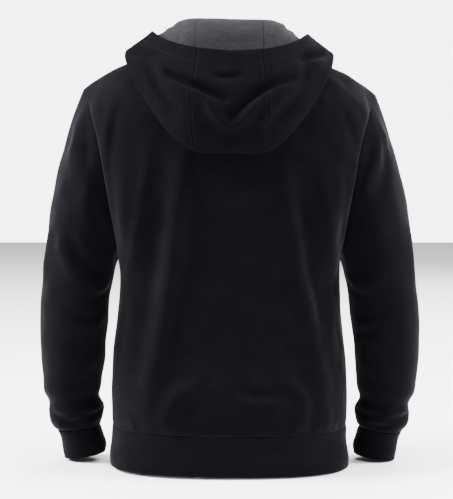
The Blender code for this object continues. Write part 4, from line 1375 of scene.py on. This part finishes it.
def metal_finish(context):
    """Black enamel with a few fine rubbed places."""
    if known("black_enamel"):
        return known("black_enamel")
    colour = context.scene.hoodie_zip.metal_colour[:]
    finish = Finish("black_enamel", 0.32, metallic=0.85)
    rubbed = finish.noise(finish.places.outputs["Object"], 420, 4.0, 0.6)
    finish.coloured(finish.ranged(rubbed, 0.35, 0.75, 0.0, 1.0), times(colour, 0.7), times(colour, 1.7))
    finish.rough(rubbed, 0.24, 0.46)
    finish.bumped(finish.noise(finish.places.outputs["Object"], 1500, 2.0, 0.5), 0.00004, 0.6)
    return finish.material


# ---- laying the cloths
LAID = {}


def laid(name):
    if name not in LAID:
        raise RuntimeError(f"{name} isn't laid yet: the operators run from the top of the panel down")
    return LAID[name]


def lay_body(strength):
    """The back and the fronts with their folds, before their edges are turned."""
    front = panel_grid([i / FRONT_STEPS for i in range(FRONT_STEPS + 1)], False)
    back = tilted(turned(panel_grid([i / BACK_STEPS for i in range(-BACK_STEPS, BACK_STEPS + 1)], True)))
    back = softened(back, UNDERARM, UNDERARM_REACH)
    share = inside(back, *FADES["back"])
    height = fold_field(back[..., 0], back[..., 2], BACK_FOLDS) + slack(back, "back")
    height += gathers(back, 0, BODY_PUCKERS, 0.4)
    LAID["back"] = raised(back, height * share * strength)
    for side, name in SIDES:
        grid = tilted(front if side > 0 else turned(mirrored(front)))
        first_row, last_row, *columns = FADES["front"]
        fade = (first_row, last_row, *columns[::side])
        up = grid[..., 2] if side > 0 else grid[..., 2] - RIGHT_FOLDS_UP
        height = fold_field(side * grid[..., 0], up, FRONT_FOLDS)
        height += slack(grid, "front", side) + gathers(grid, 0, BODY_PUCKERS, 1.9 + side)
        LAID[f"front_{name}"] = raised(grid, height * inside(grid, *fade) * strength)


def lay_sleeve(side, strength):
    """A sleeve with its folds. Its rows run down from the armhole."""
    grid = tilted(sleeve_grid(side))
    count = grid.shape[1]
    around = np.arange(count) * 2 * math.pi / count
    if side < 0:
        around = around[::-1]
    across = np.broadcast_to(around * SLEEVE_RADIUS, grid.shape[:2])
    turn = 2 * math.pi * SLEEVE_RADIUS
    folds = [list(fold) for fold in in_metres(SLEEVE_FOLDS[side])]
    for fold, row in zip(folds, SLEEVE_FOLDS[side]):
        fold[0:5:2] = [math.radians(angle) * SLEEVE_RADIUS for angle in row[0:5:2]]
    height = sum(fold_field(across + shift, grid[..., 2], folds) for shift in (-turn, 0, turn))
    height += slack(grid, "sleeve", side) + gathers(grid, -1, SLEEVE_PUCKERS, 0.7 * side)
    return raised(grid, height * inside(grid, *FADES["sleeve"]) * strength, closed=True)


def surface_tree(grids):
    """The faces of these grids, on which the hood rests."""
    points, faces = [], []
    for grid, closed in grids:
        faces += (quads(grid, closed) + len(points)).tolist()
        points += grid.reshape(-1, 3).tolist()
    return BVHTree.FromPolygons(points, faces)


def clear_of(tree, point, gap):
    """Lifts a point off the garment below it. A point past the garment's edge stays."""
    hit, normal, _, _ = tree.find_nearest(point)
    away = point - hit
    height = away.dot(normal)
    aside = (away - normal * height).length
    if height >= gap or aside > abs(height) + gap:
        return point
    return point + normal * (gap - height)


def lay_hood(tree, strength):
    """The whole hood, from the neck seam to the rim, clear of the garment below."""
    columns = [hood_column(place) for place in hood_places()]
    grid = tilted([list(row) for row in zip(*columns)])[:, ::-1]
    for k in range(1, len(grid)):
        gap = mix(REST_FROM, REST_TO, smooth(k / REST_STEPS))
        grid[k] = [tuple(clear_of(tree, Vector(point), gap)) for point in grid[k]]
    outer = np.zeros(grid.shape[:2])
    outer[HOOD_INNER_STEPS:] = 1
    fade, rim_fade = HOOD_FOLD_FADE
    share = inside(grid, HOOD_INNER_STEPS + fade, rim_fade) * outer
    share = share * eased((grid[..., 1] - HOOD_FOLDS_FROM) * HOOD_FOLDS_RISE)
    height = fold_field(grid[..., 0], grid[..., 2], HOOD_FOLDS) * share
    height += slack(grid, "hood") * inside(grid, *FADES["hood"])
    LAID["hood"] = raised(grid, height * strength)


def hood_panels(cloth, gap=SEAM_GAP):
    """The hood's left side, centre and right side, a seam's gap apart."""
    first, second = HOOD_SIDE_STEPS, HOOD_SIDE_STEPS + 2 * HOOD_CENTRE_STEPS
    last = cloth[0].shape[1] - 1
    panels = {}
    for name, start, end, parted in (("left", 0, first, (-1,)), ("centre", first, second, (0, -1)),
                                     ("right", second, last, (0,))):
        grid, fronts = cloth[0][:, start:end + 1].copy(), cloth[1][:, start:end + 1].copy()
        for at in parted:
            away = grid[:, 1 if at == 0 else -2] - grid[:, at]
            grid[:, at] += unit(away) * np.minimum(gap, np.linalg.norm(away, axis=-1, keepdims=True) / 2)
        panels[name] = (grid, fronts)
    return panels


def declare_hood(obj, slot, layer, name):
    """A panel of the hood's fleece or lining stands for the centre's solid or for its side's."""
    if name == "centre":
        declare(obj, slot, f"{layer}_centre", flat=HOOD_CENTRE_CUT)
    else:
        declare(obj, slot, f"{layer}_side_{name}", flat=HOOD_SIDE_CUT, area=HOOD_SIDE_AREA)


# ---- the operators
class HOODIE_OT_body(bpy.types.Operator):
    """Lay the back and the two fronts with their worn folds and turned seams"""

    bl_idname = "hoodie.body"
    bl_label = "Back and fronts"

    def execute(self, context):
        sizes = context.scene.hoodie_cloth
        lay_body(sizes.folds)
        finish = body_finish(context)
        back = seamed(LAID["back"], "first_row", "last_row")
        back = seamed(back, "first_column", "last_column", degrees=SIDE_TURN)
        obj = cloth_piece("back_cloth", back[0], sizes.fleece, finish)
        declare(obj, "black_fleece", "back", flat=BACK_CUT, area=BACK_AREA)
        for side, name in SIDES:
            edge, seam = ("first_column", "last_column") if side > 0 else ("last_column", "first_column")
            cloth = turn_edge(LAID[f"front_{name}"], edge, EDGE_RADIUS, 90, FRONT_EDGE_RUN, 1)
            cloth = seamed(cloth, "first_row", "last_row", seam)
            obj = cloth_piece(f"front_cloth_{name}", cloth[0], sizes.fleece, finish)
            declare(obj, "black_fleece", f"front_{name}", flat=FRONT_CUT, area=FRONT_AREA)
        return {"FINISHED"}


class HOODIE_OT_sleeves(bpy.types.Operator):
    """Lay the two sleeves with their folds"""

    bl_idname = "hoodie.sleeves"
    bl_label = "Sleeves"

    def execute(self, context):
        sizes = context.scene.hoodie_cloth
        for side, name in SIDES:
            LAID[f"sleeve_{name}"] = lay_sleeve(side, sizes.folds)
            cloth = seamed(tucked(LAID[f"sleeve_{name}"], "first_row"), "last_row")
            obj = cloth_piece(f"sleeve_cloth_{name}", cloth[0], sizes.fleece, body_finish(context),
                              closed=True)
            declare(obj, "black_fleece", f"sleeve_{name}", flat=SLEEVE_CUT, area=SLEEVE_AREA)
        return {"FINISHED"}


class HOODIE_OT_bands(bpy.types.Operator):
    """Make the cuffs and the waistband of double cloth"""

    bl_idname = "hoodie.bands"
    bl_label = "Cuffs and waistband"

    def execute(self, context):
        sizes = context.scene.hoodie_cloth
        finish = band_finish(context)
        for side, name in SIDES:
            grid = tilted(cuff_grid(side))
            height = slack(grid, "cuff", side) + gathers(grid, 0, CUFF_PUCKERS, 1.1 * side)
            cloth = raised(grid, height * inside(grid, *FADES["cuff"]) * sizes.folds, closed=True)
            cloth = turn_edge(tucked(cloth, "first_row"), "last_row", HEM_RADIUS, 180, HEM_DEPTH, 3)
            obj = cloth_piece(f"cuff_cloth_{name}", cloth[0], sizes.fleece, finish, closed=True)
            declare(obj, "black_band_fleece", f"cuff_{name}", flat=CUFF_CUT)
        grid = tilted(band_grid())
        height = slack(grid, "band") + gathers(grid, -1, BAND_PUCKERS, 2.0)
        LAID["band"] = raised(grid, height * inside(grid, *FADES["band"]) * sizes.folds)
        cloth = tucked(LAID["band"], "last_row")
        for edge in ("first_column", "last_column"):
            cloth = turn_edge(cloth, edge, EDGE_RADIUS, 90, BAND_EDGE_RUN, 1)
        cloth = turn_edge(cloth, "first_row", HEM_RADIUS, 180, HEM_DEPTH, 3)
        obj = cloth_piece("waistband_cloth", cloth[0], sizes.fleece, finish)
        declare(obj, "black_band_fleece", "waistband", flat=BAND_CUT)
        return {"FINISHED"}


class HOODIE_OT_hood(bpy.types.Operator):
    """Lay the three panels of the hood back on the shoulders, with the rim's turned hem"""

    bl_idname = "hoodie.hood"
    bl_label = "Hood"

    def execute(self, context):
        sizes = context.scene.hoodie_cloth
        grids = [(laid(name)[0], False) for name in ("back", "front_left", "front_right")]
        grids += [(laid(f"sleeve_{name}")[0], True) for _, name in SIDES]
        lay_hood(surface_tree(grids), sizes.folds)
        finish = hood_finish(context)
        for name, cloth in hood_panels(LAID["hood"]).items():
            cloth = folded_under(cloth, "last_row", CASING)
            cloth = seamed(cloth, "first_row", "first_column", "last_column",
                           radius=HOOD_SEAM_RADIUS, degrees=HOOD_SEAM_TURN)
            obj = cloth_piece(f"hood_cloth_{name}", cloth[0], sizes.fleece, finish)
            declare_hood(obj, "black_fleece", "hood", name)
        return {"FINISHED"}


class HOODIE_OT_lining(bpy.types.Operator):
    """Line the hood with heather jersey, from the neck seam to under the rim's hem"""

    bl_idname = "hoodie.lining"
    bl_label = "Hood lining"

    def execute(self, context):
        grid, fronts = [values[LINING_FROM:-LINING_SHORT] for values in laid("hood")]
        height = np.maximum(fold_field(grid[..., 0], grid[..., 2], LINING_FOLDS), 0.0)
        shape = grid - fronts * (LINING_DEPTH + height)[..., None]
        finish = jersey_finish(context)
        ends = {"left": slice(LINING_FROM, None), "right": slice(-LINING_FROM)}
        seams = {"left": ("last_column",), "right": ("first_column",),
                 "centre": ("first_column", "last_column")}
        for name, cloth in hood_panels((shape, fronts), JERSEY_GAP).items():
            grid, fronts = [values[:, ends.get(name, slice(None))] for values in cloth]
            for edge in seams[name]:
                grid, fronts = turn_edge((grid, fronts), edge, -JERSEY_RADIUS, -JERSEY_TURN, JERSEY_DIP, 1)
            obj = cloth_piece(f"hood_jersey_{name}", grid, context.scene.hoodie_cloth.jersey, finish)
            declare_hood(obj, "grey_jersey", "hood_lining", name)
        return {"FINISHED"}


class HOODIE_OT_sewing(bpy.types.Operator):
    """Sew the rows of stitches that show"""

    bl_idname = "hoodie.sewing"
    bl_label = "Sewing"

    def execute(self, context):
        sizes = context.scene.hoodie_sewing
        left, centre, right = hood_panels(laid("hood")).values()
        edges = {
            "hood_rim_stitches": (
                sizes.rim_line, (left, "last_row"), (centre, "last_row"), (right, "last_row")),
            "hood_seam_stitches": (
                sizes.seam_line, (left, "last_column"), (centre, "first_column"),
                (centre, "last_column"), (right, "first_column")),
            "front_edge_stitches": (
                sizes.zip_line, (laid("front_left"), "first_column"), (laid("front_right"), "last_column"),
                (laid("band"), "first_column"), (laid("band"), "last_column")),
        }
        for name, (distance, *places) in edges.items():
            sew(name, [line_beside(cloth, side, distance) for cloth, side in places], sizes)
        return {"FINISHED"}


def edge_lines():
    """The front edge's points at fine heights and the points beside it, with the wall's depth there."""
    rows = []
    table = rising(BAND_SECTIONS)
    step = 1 / FRONT_STEPS
    for k in range(BAND_STEPS):
        z = mix(HEM_Z, BAND_SECTIONS[0][0], k / BAND_STEPS)
        half_width, front = column_of(table, z, 1), column_of(table, z, 3)
        points = [Vector((*body_row(across, half_width, front, False), z)) for across in (0.0, step)]
        rows.append((*points, BAND_DEPTH))
    low, high = panel_levels()
    levels = low[1:] + high
    for edge, beside in zip(panel_column(0.0, levels, False), panel_column(step, levels, False)):
        rows.append((edge, beside, FLEECE))
    return rows


def tape_grid(side):
    """The tape lies behind the front edge."""
    rows = []
    for edge, beside, depth in edge_lines():
        away = (beside - edge).normalized()
        back = Vector((-away.y, away.x, 0)).normalized() * (depth + LAYER_GAP)
        places = [mix(TAPE_IN, TAPE_OUT, k / TAPE_STEPS) for k in range(TAPE_STEPS + 1)]
        rows.append([on_side(edge + away * (x - FRONT_EDGE) + back, side) for x in places])
    return outward(rows, side)


def tooth_model(sizes):
    """One tooth: a block with a rounded head on its -X end."""
    deselect()
    bpy.ops.mesh.primitive_cube_add(size=1.0)
    tooth = bpy.context.object
    tooth.scale = (TOOTH_LENGTH, TOOTH_DEPTH, sizes.tooth)
    bpy.ops.object.transform_apply(location=False, rotation=False, scale=True)
    for vertex in tooth.data.vertices:
        if vertex.co.x < 0:
            vertex.co.y *= TOOTH_HEAD
    rounding = tooth.modifiers.new("rounded", "BEVEL")
    rounding.width = TOOTH_ROUNDING
    rounding.segments = 2
    apply_modifiers(tooth)
    return taken_shape(tooth)


class HOODIE_OT_zip(bpy.types.Operator):
    """Make the zip's tapes and teeth, and finish its slider and pull"""

    bl_idname = "hoodie.zip"
    bl_label = "Zip"

    def execute(self, context):
        sizes = context.scene.hoodie_zip
        for side, name in SIDES:
            tape = tilted(tape_grid(side))
            obj = cloth_piece(f"tape_cloth_{name}", tape, TAPE_CLOTH, tape_finish(context))
            declare(obj, "black_tape", f"zip_tape_{name}", flat=TAPE_CUT)
        frames = []
        up = np.array([0.0, 0.0, 1.0])
        count = int((ZIP_TOP - HEM_Z) / sizes.pitch * 2)
        for k in range(count):
            z = HEM_Z + SEAM_GAP + (k + 0.5) * sizes.pitch / 2
            side = 1 if k % 2 else -1
            if abs(z - SLIDER_Z) < SLIDER_HALF:
                continue
            apart = TOOTH_REACH + (OPEN_REACH if z > SLIDER_Z else 0.0)
            place = np.array([side * apart, front_face(z) + CHAIN_SETBACK + TOOTH_DEPTH / 2, z])
            frames.append((place, np.array([side * 1.0, 0, 0]), np.array([0, 1.0, 0]), up * side))
        teeth = copies("zip_teeth", tooth_model(sizes), frames, metal_finish(context))
        declare(teeth, "black_metal", "zip_chain")
        for name in ("zip_slider", "zip_pull"):
            frame["nodes"][name].data.materials[0] = metal_finish(context)
        return {"FINISHED"}


class HOODIE_OT_stage(bpy.types.Operator):
    """Set the floor, the soft light and the photograph's camera"""

    bl_idname = "hoodie.stage"
    bl_label = "Floor, light and camera"

    def execute(self, context):
        sizes = context.scene.hoodie_stage
        deselect()
        bpy.ops.mesh.primitive_plane_add(size=FLOOR_SIZE, location=(0, 0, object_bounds()[0][2] - FLOOR_DROP))
        floor = context.object
        floor.name = "floor"
        finish = Finish("pale_floor", 0.9)
        grain = finish.noise(finish.places.outputs["Object"], 6, 3.0)
        finish.coloured(grain, times(sizes.floor_colour[:], 0.985), sizes.floor_colour[:])
        floor.data.materials.append(finish.material)
        floor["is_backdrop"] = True
        world = bpy.data.worlds.new("daylight")
        world.use_nodes = True
        nodes, links = world.node_tree.nodes, world.node_tree.links
        sky, backdrop = nodes["Background"], nodes.new("ShaderNodeBackground")
        seen, chosen = nodes.new("ShaderNodeLightPath"), nodes.new("ShaderNodeMixShader")
        for source, strength in ((sky, sizes.daylight), (backdrop, sizes.backdrop)):
            source.inputs["Color"].default_value = (1.0, 1.0, 1.0, 1.0)
            source.inputs["Strength"].default_value = strength
        links.new(seen.outputs["Is Camera Ray"], chosen.inputs["Fac"])
        links.new(sky.outputs["Background"], chosen.inputs[1])
        links.new(backdrop.outputs["Background"], chosen.inputs[2])
        links.new(chosen.outputs["Shader"], nodes["World Output"].inputs["Surface"])
        context.scene.world = world
        for name, place, size, power in SOFTBOXES:
            deselect()
            bpy.ops.object.light_add(type="AREA", location=place)
            light = context.object
            light.name = name
            light.data.size = size
            light.data.energy = power * sizes.softboxes
            aim = Vector(LIGHTS_AIM) - Vector(place)
            light.rotation_euler = aim.to_track_quat("-Z", "Y").to_euler()
        deselect()
        bpy.ops.object.camera_add(location=CAMERA_PLACE)
        camera = context.object
        camera.name = "photo_camera"
        width, height = IMAGE_SIZE
        camera.data.sensor_width = SENSOR
        camera.data.sensor_fit = "HORIZONTAL"
        camera.data.lens = FOCAL / width * SENSOR
        camera.rotation_euler = (math.pi / 2 - math.atan((height / 2 - AIM[1]) / FOCAL), 0,
                                 math.pi + (AIM[0] - width / 2) / FOCAL)
        context.scene.camera = camera
        return {"FINISHED"}


OPERATORS = (HOODIE_OT_body, HOODIE_OT_sleeves, HOODIE_OT_bands, HOODIE_OT_hood, HOODIE_OT_lining,
             HOODIE_OT_sewing, HOODIE_OT_zip, HOODIE_OT_stage)
SETTINGS = (("hoodie_cloth", HoodieClothSettings), ("hoodie_sewing", HoodieSewingSettings),
            ("hoodie_zip", HoodieZipSettings), ("hoodie_stage", HoodieStageSettings))


class HOODIE_PT_panel(bpy.types.Panel):
    """The hoodie's pieces, in the order in which they are made"""

    bl_idname = "HOODIE_PT_panel"
    bl_label = "Zip-up hoodie"
    bl_space_type = "VIEW_3D"
    bl_region_type = "UI"
    bl_category = "Hoodie"

    def draw(self, context):
        for name, settings in SETTINGS:
            box = self.layout.box()
            for key in settings.__annotations__:
                box.prop(getattr(context.scene, name), key)
        for operator in OPERATORS:
            self.layout.operator(operator.bl_idname)


def register():
    for name, settings in SETTINGS:
        bpy.utils.register_class(settings)
        setattr(bpy.types.Scene, name, PointerProperty(type=settings))
    for made in (*OPERATORS, HOODIE_PT_panel):
        bpy.utils.register_class(made)


def unregister():
    for made in (HOODIE_PT_panel, *OPERATORS[::-1]):
        bpy.utils.unregister_class(made)
    for name, settings in SETTINGS[::-1]:
        delattr(bpy.types.Scene, name)
        bpy.utils.unregister_class(settings)


def main():
    register()
    bpy.ops.hoodie.body()
    bpy.ops.hoodie.sleeves()
    bpy.ops.hoodie.bands()
    bpy.ops.hoodie.hood()
    bpy.ops.hoodie.lining()
    bpy.ops.hoodie.sewing()
    bpy.ops.hoodie.zip()
    bpy.ops.hoodie.stage()


if __name__ == "__main__":
    main()
